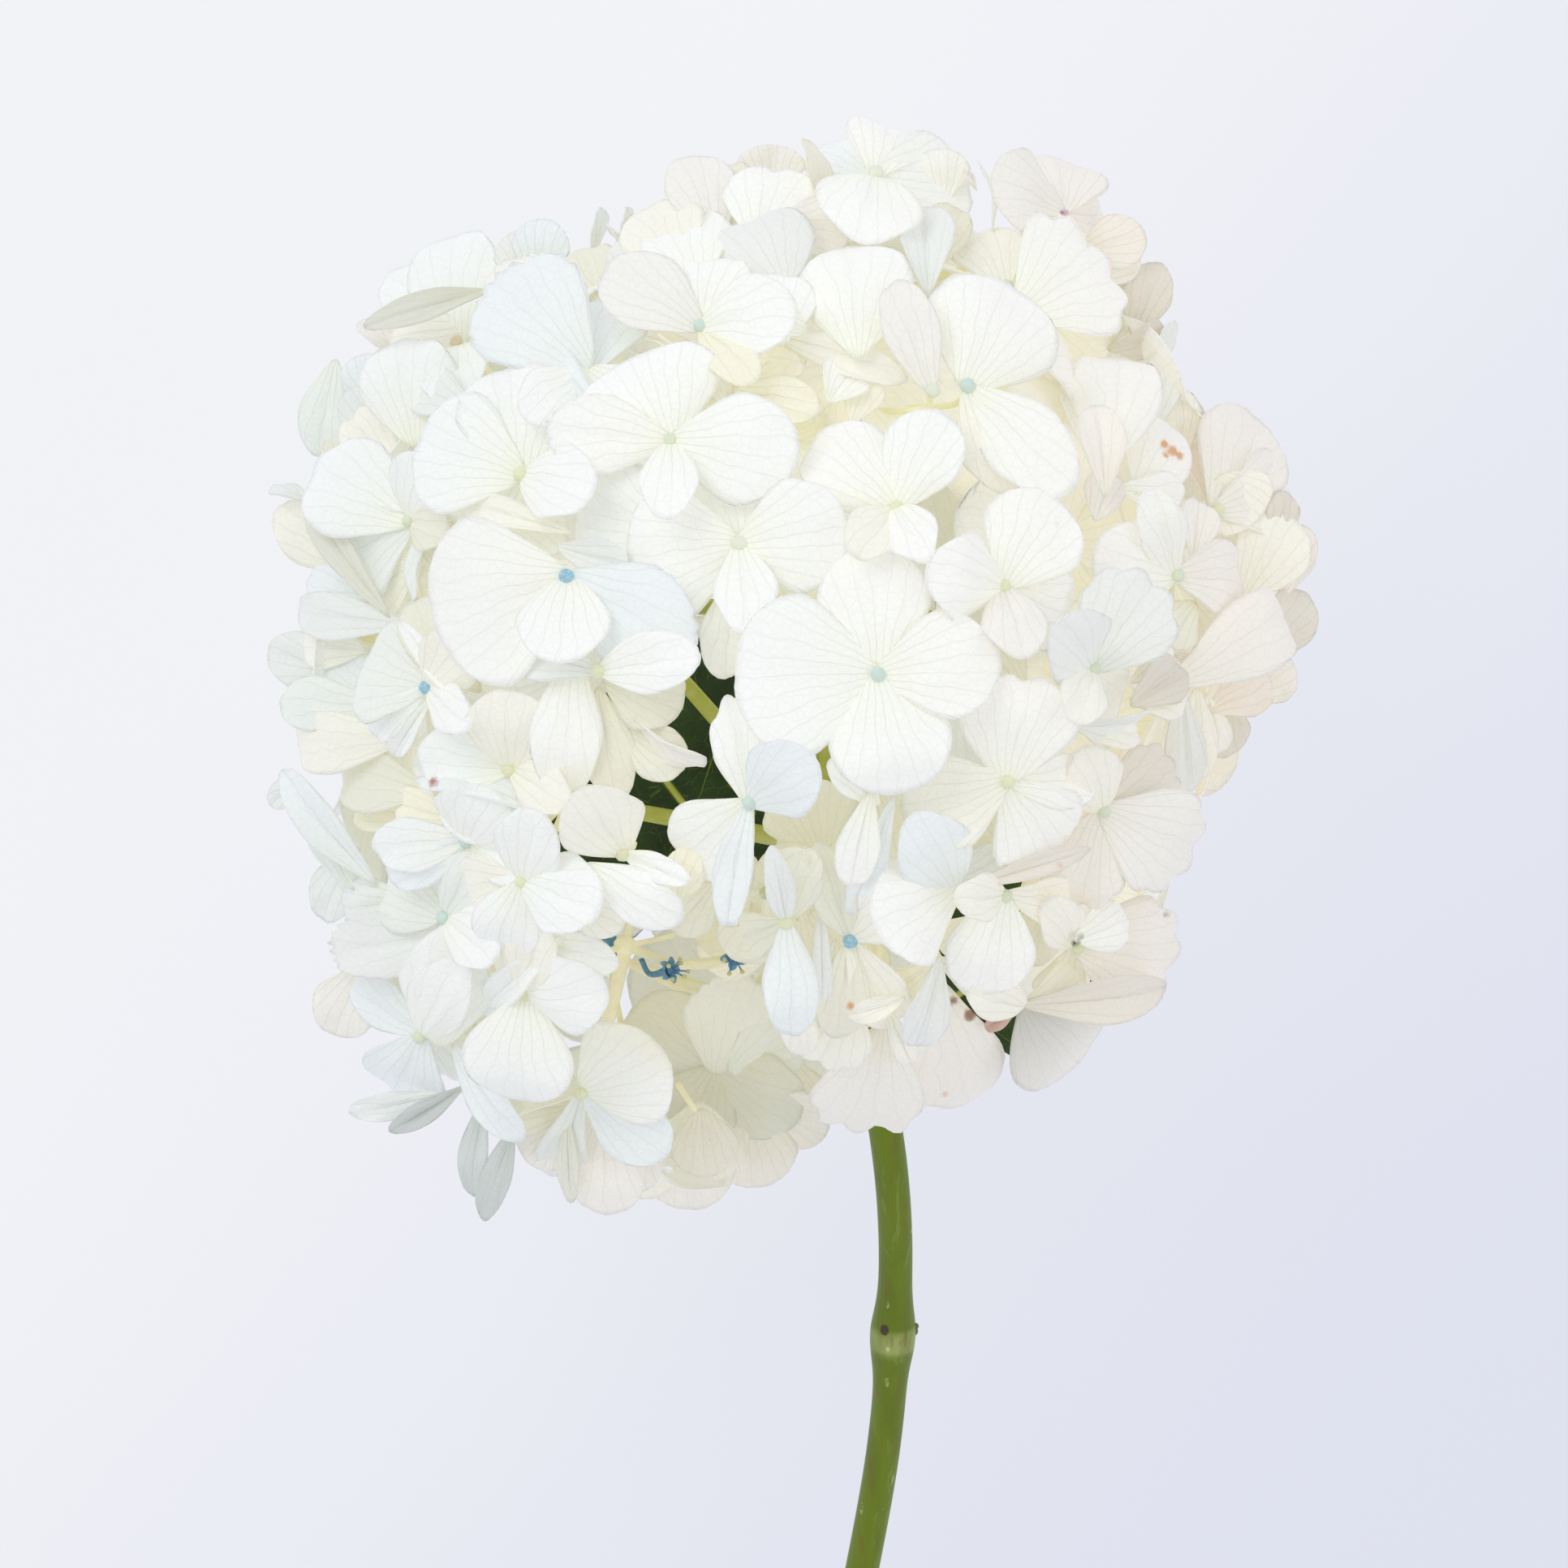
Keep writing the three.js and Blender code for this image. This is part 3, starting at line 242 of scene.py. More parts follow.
# Florets that the photograph shows: column and row of the middle, how far it stands above the head's form
# in mm, its bud, and its sepals. Each sepal has the column and row of its tip, its width in pixels, words
# for its shape and colour, and how far its tip is raised in mm
SEEN_FLORETS = [
    (827, 544, 3, "green", [(988, 562, 128, "dome", 1), (783, 438, 175, "dome", 2),
                            (672, 530, 95, "saw", 1), (822, 640, 70, "plain", 0)]),
    (644, 586, 3, "yellow", [(515, 548, 150, "plain", 0), (640, 450, 150, "plain", -1),
                             (735, 610, 95, "plain", 0), (600, 650, 80, "plain", -1)]),
    (508, 643, -1, "green", [(385, 580, 128, "dome", 1), (425, 700, 130, "green", -3),
                             (540, 560, 90, "plain", -2), (552, 650, 66, "olive", -3)]),
    (700, 711, 7, "blue", [(533, 765, 200, "plain", 0), (855, 800, 125, "saw blue", -1),
                           (690, 820, 110, "plain", -2)]),
    (911, 671, 0, "white", [(773, 690, 158, "plain", 1), (1048, 650, 132, "plain", 1),
                            (926, 782, 74, "plain", 0), (882, 560, 90, "plain", -2)]),
    (864, 405, 3, "sea", [(746, 332, 98, "pink", 1), (880, 317, 104, "dome", 2), (985, 385, 100, "dome", 1),
                          (930, 470, 60, "yellow", -2)]),
    (1190, 478, 4, "sea", [(1246, 352, 164, "dome", 2), (1320, 606, 96, "plain", 2),
                           (1254, 606, 88, "cream", -4)]),
    (1104, 627, 2, "yellow", [(1003, 543, 114, "dome", 1), (1163, 507, 96, "dome", 2),
                              (1142, 694, 64, "plain", -1), (1050, 684, 66, "cream", -1)]),
    (1235, 723, 6, "yellow", [(1142, 700, 106, "dome", 0), (1300, 614, 124, "plain", -1),
                              (1318, 768, 100, "dome", 2), (1262, 813, 76, "pink", -3)]),
    (1238, 357, 1, "green", [(1200, 285, 96, "cream", -1), (1240, 440, 90, "plain", -4),
                             (1140, 400, 80, "cream", -5)]),
    (1078, 218, 3, "white", [(1020, 176, 110, "saw blue", 0), (1092, 162, 104, "saw", 0),
                             (1196, 230, 130, "plain", 0), (1060, 300, 130, "plain", 1)]),
    (1309, 262, 0, "none", [(1222, 222, 112, "pink", 0), (1306, 200, 112, "pink", 0),
                            (1362, 262, 92, "scallop pink", -1), (1300, 330, 70, "cream", -9)]),
    (1496, 630, 1, "yellow", [(1546, 512, 130, "pink", 1), (1588, 610, 120, "pink", 0),
                              (1478, 545, 70, "peach", -1), (1528, 650, 46, "folded pink", 3)]),
    (1447, 710, 2, "green", [(1342, 690, 108, "plain", 0), (1528, 716, 92, "pink", 0),
                             (1412, 604, 62, "plain", 1), (1484, 792, 54, "yellow", -1)]),
    (1343, 824, 5, "green", [(1422, 710, 128, "scallop grey", 3), (1306, 768, 96, "grey", 1),
                             (1378, 880, 76, "cupped", 0), (1318, 892, 64, "cream", -1)]),
    (567, 425, -7, "amber", [(490, 330, 96, "dome", 3), (562, 288, 118, "dome", 4),
                             (640, 345, 90, "cream", 0), (560, 500, 90, "plain", 0)]),
    (725, 456, 1, "none", [(606, 345, 155, "saw blue", 2), (752, 370, 110, "cupped blue", 0),
                           (790, 520, 90, "plain", -3), (650, 520, 80, "plain", -3)]),
    (528, 847, 3, "blue", [(443, 822, 124, "green", 0), (590, 780, 80, "cream", -3),
                           (578, 895, 56, "plain", 1), (460, 902, 54, "plain", 1)]),
    (738, 827, 8, "yellow", [(634, 803, 56, "folded grey", 2), (864, 806, 72, "plain", 1)]),
    (630, 947, 1, "yellow", [(514, 930, 86, "cupped", 1), (632, 848, 110, "cream", -3),
                             (702, 990, 62, "cream", -1), (640, 1005, 60, "plain", -2)]),
    (578, 1034, 0, "sea", [(612, 972, 110, "plain", -2), (458, 1044, 66, "plain", 0),
                           (480, 1080, 62, "blue", -1), (650, 1070, 70, "plain", -2)]),
    (645, 1084, 7, "yellow", [(572, 1104, 90, "cream", -1), (664, 996, 84, "plain", 0),
                              (740, 1120, 98, "plain", 0), (618, 1168, 84, "dome", 2)]),
    (769, 1051, 3, "yellow", [(716, 975, 104, "cream", 0), (674, 966, 90, "edge cream", 0),
                              (852, 1086, 34, "plain", -8)]),
    (923, 989, 4, "sea", [(846, 1068, 110, "plain", 0), (908, 848, 74, "scallop", 0),
                          (1003, 932, 96, "blue", 1), (896, 1142, 46, "folded blue", 1)]),
    (1081, 831, 7, "sea", [(903, 836, 186, "plain", 0), (1072, 670, 128, "plain", -1),
                           (1233, 812, 124, "plain", 0), (1110, 979, 142, "dome", 1)]),
    (1240, 963, 6, "yellow", [(1264, 829, 138, "notch", 0), (1112, 1006, 112, "cream", -6),
                              (1356, 962, 66, "plain", 0), (1296, 1054, 124, "saw", 0)]),
    (1237, 1102, 3, "green", [(1206, 1226, 106, "dome", 2), (1176, 1106, 56, "cream", -3),
                              (1320, 1110, 60, "cream", -2)]),
    (1357, 998, 0, "green", [(1472, 1056, 134, "scallop pink", 0), (1312, 1121, 104, "scallop pink", -1),
                             (1448, 934, 84, "scallop brown", 0), (1330, 920, 80, "cream", -2)]),
    (1177, 1093, 1, "none", [(1080, 1146, 132, "dome", 1), (1122, 1004, 92, "blue", 2),
                             (1244, 1047, 44, "folded grey", 1)]),
    (1047, 1157, 0, "blue", [(1007, 1034, 52, "folded olive", 3), (1032, 1278, 64, "olive", -2),
                             (1100, 1262, 70, "cream", -5), (1110, 1110, 60, "cream", -5)]),
    (968, 1134, 3, "yellow", [(975, 1276, 66, "blue dome", 2), (950, 1040, 34, "folded grey", 1),
                              (1000, 1050, 54, "olive", -4), (895, 1160, 60, "olive", -4)]),
    (944, 1098, -4, "olive", [(884, 1140, 66, "olive", -2), (990, 1050, 50, "olive", -1),
                              (965, 1165, 50, "cream", 0)]),
    (1157, 1182, 2, "none", [(1084, 1226, 46, "yellow", 0), (1126, 1287, 54, "folded grey", 2),
                             (1250, 1218, 56, "cream", -2)]),
    (1262, 1238, 2, "none", [(1438, 1216, 56, "folded brown", 3), (1338, 1194, 66, "yellow", 1),
                             (1330, 1314, 140, "shadow", -2), (1192, 1216, 56, "cream", -3)]),
    (1325, 1165, -1, "yellow", [(1450, 1176, 140, "scallop pink", -1), (1290, 1110, 60, "cream", -1),
                                (1290, 1230, 60, "yellow", -2)]),
    (648, 1222, 4, "yellow", [(640, 1355, 134, "dome", 1), (746, 1214, 106, "dome", 1),
                              (672, 1140, 70, "cream", -1), (585, 1235, 70, "blue", -1)]),
    (521, 1274, 1, "green", [(430, 1203, 64, "blue", 0), (494, 1346, 110, "blue", -1),
                             (575, 1180, 80, "plain", 0), (560, 1330, 60, "grey", -3)]),
    (718, 1343, 1, "yellow", [(820, 1296, 146, "plain", -8), (825, 1423, 88, "blue", 7),
                              (690, 1448, 62, "folded grey", 0), (620, 1358, 86, "edge olive", 2)]),
    (550, 1128, 2, "sea", [(580, 1206, 62, "grey", 5), (486, 1070, 118, "dome green", 0),
                           (612, 1180, 70, "plain", 0), (596, 1052, 70, "green", -2)]),
    (1148, 484, 3, "white", [(1102, 344, 68, "pink", 4)]),
]

# Single sepals of florets whose middles are hidden: root and tip as column and row, width in pixels, how
# far root and tip stand above the form in mm, and words for shape and colour
SEEN_SEPALS = [
    # Upper left
    (600, 358, 448, 402, 38, -1, 2, "folded stone"),
    (590, 405, 478, 418, 60, -8, -8, "cream"),
    (490, 432, 441, 398, 60, -10, -9, "edge pink"),
    (512, 548, 503, 417, 122, -4, -3, "dome"),
    (540, 500, 455, 440, 80, -7, -7, "grey"),
    (580, 505, 513, 478, 66, -4, -4, "grey"),
    (414, 446, 394, 563, 68, -12, -13, "green"),
    (462, 505, 446, 436, 66, -10, -10, "blue"),
    (478, 545, 428, 480, 66, -9, -9, "grey"),
    (490, 575, 428, 510, 70, -8, -9, "cream"),
    (455, 590, 410, 530, 70, -11, -12, "olive"),
    (655, 345, 638, 283, 76, -10, -9, "grey"),
    (662, 345, 672, 270, 70, -9, -8, "blue"),
    (672, 405, 622, 321, 92, -4, -3, "cream saw"),
    (745, 378, 716, 307, 70, -7, -6, "olive"),
    (720, 420, 690, 318, 70, -8, -7, "cream"),
    (730, 314, 744, 255, 40, -8, -8, "spike grey"),
    (766, 304, 748, 276, 30, -8, -8, "spike grey"),
    (768, 300, 776, 255, 40, -8, -8, "spike grey"),
    (740, 506, 643, 392, 38, 5, 6, "folded blue"),
    (700, 656, 556, 615, 36, 4, 5, "folded cream"),
    (478, 757, 379, 606, 42, -2, -3, "folded stone"),
    (532, 652, 507, 744, 60, 0, -2, "edge green"),
    (512, 695, 452, 738, 76, -5, -6, "cream"),
    (590, 850, 500, 742, 72, 1, 1, "olive"),
    (560, 720, 536, 640, 50, -6, -5, "olive"),
    (660, 660, 560, 560, 110, -6, -6, "plain"),
    # Top
    (884, 292, 850, 190, 90, -2, -1, "pink"),
    (886, 262, 828, 205, 50, -1, 1, "cupped"),
    (912, 292, 898, 200, 60, -5, -4, "olive"),
    (935, 300, 958, 203, 112, 0, 1, "notch"),
    (950, 235, 950, 178, 84, -4, -3, "pink"),
    (955, 280, 1053, 282, 78, 0, 1, "saw pink"),
    (1012, 264, 994, 171, 70, 3, 4, "edge olive"),
    (968, 354, 922, 267, 122, 2, 3, "dome grey"),
    (1058, 440, 1052, 301, 134, 3, 4, "dome"),
    (992, 408, 886, 372, 82, 3, 4, "plain"),
    (962, 424, 955, 338, 92, 2, 3, "dome"),
    (864, 356, 838, 267, 110, 1, 2, "plain"),
    (846, 332, 796, 256, 108, -1, 0, "cream"),
    (800, 350, 772, 290, 70, -2, -2, "grey"),
    (885, 480, 765, 388, 60, -1, -1, "edge yellow"),
    (892, 502, 800, 412, 60, -3, -3, "edge cream"),
    (905, 475, 992, 420, 62, -4, -3, "yellow"),
    (880, 428, 990, 458, 48, -1, -2, "yellow cupped"),
    (905, 482, 1012, 503, 58, -3, -3, "yellow"),
    (1022, 494, 1061, 437, 60, -1, 0, "cupped"),
    (950, 410, 1118, 468, 44, 0, -1, "cream"),
    (1050, 520, 1075, 455, 50, -4, -4, "yellow"),
    (1142, 360, 1134, 256, 72, 1, 3, "grey folded"),
    (1150, 330, 1176, 250, 60, -3, -2, "olive"),
    (1160, 250, 1150, 184, 80, -3, -3, "cream"),
    (1060, 300, 1100, 262, 80, -2, -2, "pink"),
    (1222, 288, 1209, 197, 50, 0, 0, "spike grey"),
    (1203, 234, 1187, 204, 30, -3, -3, "spike pink"),
    # Upper right
    (1256, 385, 1362, 312, 172, 1, 1, "scallop"),
    (1330, 312, 1412, 288, 70, -4, -5, "peach"),
    (1345, 345, 1404, 310, 50, -6, -7, "cream"),
    (1396, 414, 1428, 322, 60, -8, -8, "brown"),
    (1362, 425, 1396, 325, 70, -9, -9, "olive"),
    (1368, 430, 1434, 402, 60, -5, -5, "edge brown"),
    (1408, 454, 1451, 397, 50, -7, -7, "edge grey"),
    (1422, 528, 1440, 441, 44, -8, -8, "green"),
    (1456, 562, 1448, 476, 54, -9, -9, "cream"),
    (1484, 545, 1462, 484, 26, -9, -10, "brown"),
    (1285, 385, 1368, 432, 80, -8, -6, "yellow"),
    (1368, 568, 1375, 436, 110, 3, 3, "dome"),
    (1362, 608, 1350, 498, 56, 5, 6, "folded pink"),
    (1398, 606, 1444, 525, 92, 2, 2, "dome"),
    (1378, 602, 1458, 613, 54, 2, 1, "plain"),
    (1470, 688, 1477, 616, 50, 4, 5, "folded pink"),
    (1495, 748, 1506, 690, 50, 2, 2, "cream"),
    (1500, 590, 1552, 640, 100, -1, -2, "cream"),
    (1568, 668, 1586, 606, 44, -5, -6, "brown"),
    (1472, 744, 1438, 792, 60, 2, 2, "olive"),
    (1350, 640, 1368, 580, 50, 1, 1, "pink"),
    # Right
    (1395, 840, 1445, 798, 40, 4, 4, "cream"),
    (1395, 868, 1456, 822, 60, 7, 7, "folded brown"),
    (1396, 864, 1462, 864, 46, 5, 5, "cream saw"),
    (1325, 892, 1414, 880, 60, 6, 6, "edge grey"),
    (1325, 898, 1405, 908, 34, 4, 3, "cream"),
    (1440, 844, 1577, 756, 96, 0, 0, "pink dome"),
    (1450, 806, 1522, 797, 50, 2, 2, "edge brown"),
    (1490, 874, 1566, 832, 66, -3, -3, "peach"),
    (1532, 736, 1592, 636, 96, -4, -5, "cream"),
    (1578, 735, 1610, 648, 50, -8, -9, "pink"),
    (1552, 812, 1610, 730, 72, -8, -9, "brown"),
    (1530, 860, 1592, 812, 70, -11, -12, "pink"),
    (1455, 852, 1462, 978, 50, -2, -4, "grey"),
    (1486, 856, 1498, 936, 40, -4, -5, "cream"),
    (1510, 862, 1508, 934, 64, -9, -10, "brown"),
    (1474, 850, 1472, 966, 56, -3, -4, "cream"),
    # Lower right
    (1326, 1158, 1390, 1130, 62, 5, 5, "dome"),
    (1296, 1100, 1264, 1190, 60, -8, -8, "olive"),
    (1200, 1130, 1168, 1180, 60, -8, -8, "cream"),
    (1178, 1084, 1244, 1050, 46, 0, 0, "grey"),
    (1196, 1000, 1262, 1062, 70, -9, -9, "olive"),
    (1012, 1108, 1011, 1262, 24, 0, -1, "grey"),
    (990, 1120, 1030, 1190, 70, -8, -8, "olive"),
    (1362, 992, 1442, 962, 64, -3, -3, "brown"),
    (1252, 1243, 1214, 1269, 20, 3, 3, "rust"),
    (1186, 1094, 1342, 1046, 26, 4, 5, "folded brown"),
    (1082, 990, 1024, 933, 44, 5, 6, "plain"),
    (1072, 978, 1047, 1093, 50, 6, 6, "folded"),
    (1100, 984, 1046, 1128, 36, 5, 4, "folded blue"),
    (1156, 1214, 1163, 1367, 144, -4, -3, "pink"),
    (1088, 1264, 1056, 1396, 136, -4, -4, "scallop pink"),
    (1050, 1228, 1008, 1316, 96, -3, -3, "cream scallop"),
    (1114, 1230, 1044, 1252, 30, 3, 3, "folded cream"),
    (1092, 1240, 1122, 1312, 28, 0, 0, "cream"),
    # Left
    (500, 1110, 420, 1120, 70, -6, -8, "grey"),
    (560, 1010, 486, 990, 50, -4, -4, "yellow"),
    (500, 768, 362, 752, 58, -5, -7, "grey"),
    (465, 738, 377, 713, 50, -9, -10, "blue"),
    (440, 700, 341, 626, 78, -11, -12, "cream"),
    (450, 800, 372, 790, 60, -8, -10, "cream"),
    (388, 614, 331, 603, 40, -9, -10, "edge grey"),
    (425, 830, 330, 800, 70, -10, -12, "grey"),
    (462, 862, 395, 796, 84, -8, -9, "blue"),
    (466, 872, 344, 866, 66, -6, -8, "green"),
    (500, 908, 363, 915, 76, -7, -10, "cream"),
    (530, 975, 418, 950, 84, -5, -8, "olive"),
    (520, 1010, 440, 985, 60, -10, -12, "yellow"),
    (592, 892, 492, 764, 26, 6, 6, "folded"),
    (531, 860, 484, 934, 28, 3, 2, "folded"),
    (460, 1086, 345, 946, 50, -2, -4, "blue folded"),
    (374, 962, 331, 991, 34, -5, -7, "grey"),
    (434, 1094, 377, 1001, 50, -5, -6, "edge blue"),
    (440, 1046, 396, 1133, 66, -9, -11, "grey"),
    (566, 1150, 401, 1172, 84, -1, -4, "grey saw"),
    (676, 1002, 516, 956, 60, 6, 5, "edge blue"),
    (650, 1030, 545, 975, 80, 0, 0, "plain"),
    # Middle
    (1262, 850, 1214, 800, 66, -5, -5, "olive"),
    (688, 674, 772, 697, 46, 5, 5, "grey cupped"),
    (746, 836, 842, 868, 92, 2, 0, "olive"),
    (640, 640, 700, 668, 60, -3, -3, "cream"),
    (830, 668, 716, 612, 124, -2, -2, "plain"),
    (780, 640, 728, 690, 90, -5, -5, "plain"),
    (1010, 690, 950, 752, 100, -9, -9, "yellow"),
    (900, 716, 891, 838, 62, -4, -4, "plain"),
    (770, 796, 700, 838, 70, -4, -4, "plain"),
    (1180, 870, 1200, 960, 60, -5, -5, "blue"),
    (1090, 970, 1150, 1050, 110, -10, -10, "olive"),
    (706, 806, 694, 980, 84, 5, 4, "dome"),
    (738, 850, 762, 985, 64, 2, 1, "olive"),
    (772, 902, 843, 948, 66, 1, 0, "olive"),
    (783, 887, 869, 942, 50, 3, 3, "edge pink"),
    (690, 832, 634, 852, 64, 3, 3, "plain"),
    (702, 1102, 769, 1140, 64, 1, 0, "cream"),
    (726, 1066, 840, 1134, 66, 9, 7, "dome"),
    (832, 1112, 850, 1046, 50, -1, -1, "yellow"),
    (880, 1088, 830, 1150, 60, -6, -8, "olive"),
    (930, 1060, 850, 1110, 110, -10, -10, "olive"),
    (1010, 1050, 985, 962, 110, -10, -8, "olive"),
    (960, 1040, 1040, 1010, 90, -12, -12, "olive"),
    (1000, 1060, 1060, 1010, 90, -12, -12, "yellow"),
    (990, 1130, 960, 1040, 90, -8, -8, "olive"),
    (940, 1100, 915, 1185, 80, -7, -9, "olive"),
    (985, 1190, 988, 1302, 46, -3, -3, "cream"),
    (1030, 1160, 1010, 1275, 60, -6, -6, "cream"),
    (1050, 1120, 1050, 1230, 90, -9, -9, "olive"),
    (600, 860, 640, 900, 60, -4, -4, "yellow"),
    # Lower left
    (530, 1230, 470, 1196, 60, -6, -7, "olive"),
    (770, 1390, 790, 1470, 70, -8, -10, "pink"),
    (542, 1284, 562, 1142, 116, 3, 4, "dome"),
    (560, 1288, 643, 1407, 50, 1, 0, "blue"),
    (545, 1348, 429, 1371, 36, -7, -9, "grey"),
    (570, 1340, 480, 1394, 30, -4, -6, "folded slate"),
    (596, 1352, 583, 1476, 38, -9, -13, "folded slate"),
    (634, 1386, 594, 1504, 38, -7, -12, "slate"),
    (446, 1192, 410, 1276, 82, -8, -11, "pink"),
    (690, 1156, 600, 1237, 42, 5, 5, "folded"),
    (660, 1157, 762, 1190, 52, 2, 2, "plain"),
    (700, 1372, 704, 1482, 26, -2, -5, "stone"),
    (746, 1370, 750, 1497, 100, -6, -9, "pink"),
    (690, 1390, 648, 1430, 70, -8, -9, "pink"),
    (702, 1362, 606, 1372, 60, -4, -4, "olive"),
]

# Florets of the far side, seen from behind through the opening: root and tip as column and row, width in
# pixels, height of root and tip above the table in mm, and words
FAR_SEPALS = [
    (960, 1120, 850, 1120, 130, 78, 82, "olive"),
    (960, 1160, 860, 1165, 90, 70, 74, "cream"),
    (881, 1320, 912, 1196, 116, 46, 60, "grey saw"),
    (881, 1316, 782, 1236, 135, 44, 50, "stone"),
    (881, 1316, 838, 1404, 110, 45, 52, "stone"),
    (881, 1316, 988, 1374, 116, 45, 50, "stone"),
    (900, 1316, 962, 1285, 90, 42, 46, "cream"),
    (846, 1380, 854, 1491, 122, 48, 50, "pink"),
    (864, 1368, 872, 1450, 88, 58, 62, "pink"),
    (925, 1370, 936, 1463, 108, 46, 48, "pink"),
    (948, 1362, 1022, 1390, 80, 46, 50, "pink"),
    (960, 1300, 1000, 1400, 90, 40, 44, "cream"),
    (790, 1390, 800, 1478, 90, 46, 50, "cream"),
    (862, 1360, 856, 1460, 124, 54, 56, "cream"),
    (900, 1320, 985, 1270, 90, 48, 54, "grey"),
]

# Shapes of a sepal, as shares of its length and width. cup lifts both edges, fold bends it along its
# middle, roll turns it on edge in degrees, arch lifts its middle and curl its tip. count is the number of
# its teeth, tint names a colour, and fade is the share of that colour that is gone at the tip. Each of the
# tints below is a word too
PLAIN_SHAPE = {"cup": -0.03, "fold": 0.03, "roll": 0, "arch": 0.07, "curl": -0.05, "teeth": 0.004,
               "count": 23, "notch": 0.0, "wave": 0.03, "foot": 0.42, "tint": None, "fade": 0}
SHAPES = {
    "plain": {},
    "dome": {"cup": -0.15, "arch": 0.11, "curl": -0.1},
    "cupped": {"cup": 0.2, "arch": 0.0, "curl": 0.08},
    "saw": {"teeth": 0.03, "wave": 0.045},
    "scallop": {"teeth": 0.045, "count": 9, "wave": 0.045},
    "notch": {"notch": 0.08},
    "folded": {"fold": 0.38, "cup": 0.05},
    "edge": {"roll": 60, "cup": 0.1},
    "spike": {"roll": 80, "foot": 0.7},
    # Painted shadow: the dark tint, strongest at the sepal's foot and fading towards its tip
    "shadow": {"tint": "dark", "fade": 0.8},
}

# Heights of a sepal's small forms in mm, and how uneven its outline is, as a share
MIDDLE_VEIN_DEPTH = 0.35
RUMPLE_HEIGHT = 0.9
OUTLINE_WOBBLE = 0.03

# How far sepals differ from each other in roll, in the lean of their white, and in form. The last is how
# fast the waves along an edge follow each other
SEPAL_VARIES = {"roll": 4, "mood": 0.4, "cup": 0.035, "arch": 0.02, "curl": 0.03}
SEPAL_WAVES = (5, 8)

# Painted glow that a sepal gives off, for light that passes through the sepals around it, as a share of its
# own colour
PETAL_GLOW = {"outside": 0.135, "deep": 0.235}

# How many faces a sepal has across, where the photograph shows it and where it doesn't
SEEN_FINENESS = 14
HIDDEN_FINENESS = 7

# The sepals' own white. Then painted cool light for the head's left side and painted warm light for its
# right, which single sepals also lean to at random. Then painted cream shade deep in the head, and the
# greener foot of a sepal, partly painted shade where the sepals meet
PETAL_WHITE = shade(249, 249, 246)
LEFT_WHITE = shade(239, 242, 241)
RIGHT_WHITE = shade(249, 244, 237)
DEEP_SHADE_CREAM = shade(240, 234, 206)
HEART_GREEN = shade(242, 244, 212)

# Colours that single sepals lean to. olive, stone and slate are painted shade on sepals that lie deep in
# the head or in creases, and dark is the painted shadow of the shadow word. grey and brown are in part
# painted shade as well
TINTS = {
    "grey": shade(226, 229, 226),
    "pink": shade(238, 231, 222),
    "blue": shade(229, 236, 240),
    "green": shade(228, 233, 225),
    "cream": shade(244, 240, 224),
    "yellow": shade(244, 238, 204),
    "olive": shade(226, 222, 194),
    "peach": shade(238, 222, 204),
    "brown": shade(208, 198, 180),
    "stone": shade(208, 205, 184),
    "dark": shade(124, 120, 112),
    "slate": shade(156, 164, 164),
    "rust": shade(168, 84, 30),
}
SHAPES.update((tint, {"tint": tint}) for tint in TINTS)

# How far each colour is mixed into a sepal's white, as shares. left and right carry painted light, deep
# carries painted shade, and heart the sepal's greener foot with painted shade
COLOUR_SHARES = {"left": 0.75, "right": 0.7, "deep": 0.85, "heart": 0.55, "tint": 0.6, "mood": 0.3}
BUD_COLOURS = {
    "blue": shade(150, 200, 226),
    "sea": shade(214, 234, 228),
    "green": shade(230, 239, 214),
    "yellow": shade(243, 245, 208),
    "white": shade(242, 245, 230),
    "olive": shade(214, 218, 168),
    "amber": shade(238, 220, 184),
}


def tip_in_plane(column, row, centre, normal):
    """Place of a photographed tip in its floret's plane, within a sepal's real length."""
    height = centre.z
    for _ in range(6):
        flat = seen_at(column, row, height) - centre
        fall = -(normal.x * flat.x + normal.y * flat.y) / max(normal.z, LEAST_FACING_UP)
        seen = math.hypot(flat.x, flat.y)
        most = math.sqrt(max(SEPAL_LENGTH["most"] ** 2 - seen ** 2, 0))
        least = math.sqrt(max(SEPAL_LENGTH["least"] ** 2 - seen ** 2, 0))
        size = min(max(abs(fall), least), most)
        height = centre.z + (size if fall > 0 else -size)
    return seen_at(column, row, height)


def shape_of(words):
    """Facts of a sepal's shape from the words for it."""
    shape = dict(PLAIN_SHAPE)
    for word in words.split():
        shape.update(SHAPES[word])
    return shape


def sepal_row(tip, width, words, normal, centre):
    """Facts of one sepal, with its turn round the floret's own axis."""
    across = Vector((0, 0, 1)).cross(normal)
    if across.length < 0.1:
        across = Vector((1, 0, 0)) - normal * normal.x
    across.normalize()
    offset = tip - centre
    turn = math.atan2(offset.dot(normal.cross(across)), offset.dot(across))
    return {"tip": tip, "width": width, "shape": shape_of(words), "turn": turn}


def floret_of(centre, normal, bud, sepals, fineness):
    """A floret, its sepals in order round it, so that opposite ones make the upper and the lower pair."""
    sepals.sort(key=lambda sepal: sepal["turn"])
    for index, sepal in enumerate(sepals):
        sepal["lift"] = PAIR_LIFTS[index % 2]
    return {"centre": centre, "normal": normal, "bud": bud, "sepals": sepals, "fineness": fineness}


def place_on_form(column, row, level):
    """Place of a photographed point, so far above the head's form."""
    place = seen_at(column, row, HEAD_CENTRE_HEIGHT + FLORET_FORM.z)
    for _ in range(4):
        place = seen_at(column, row, form_height(place.x, place.y) + level)
    return place


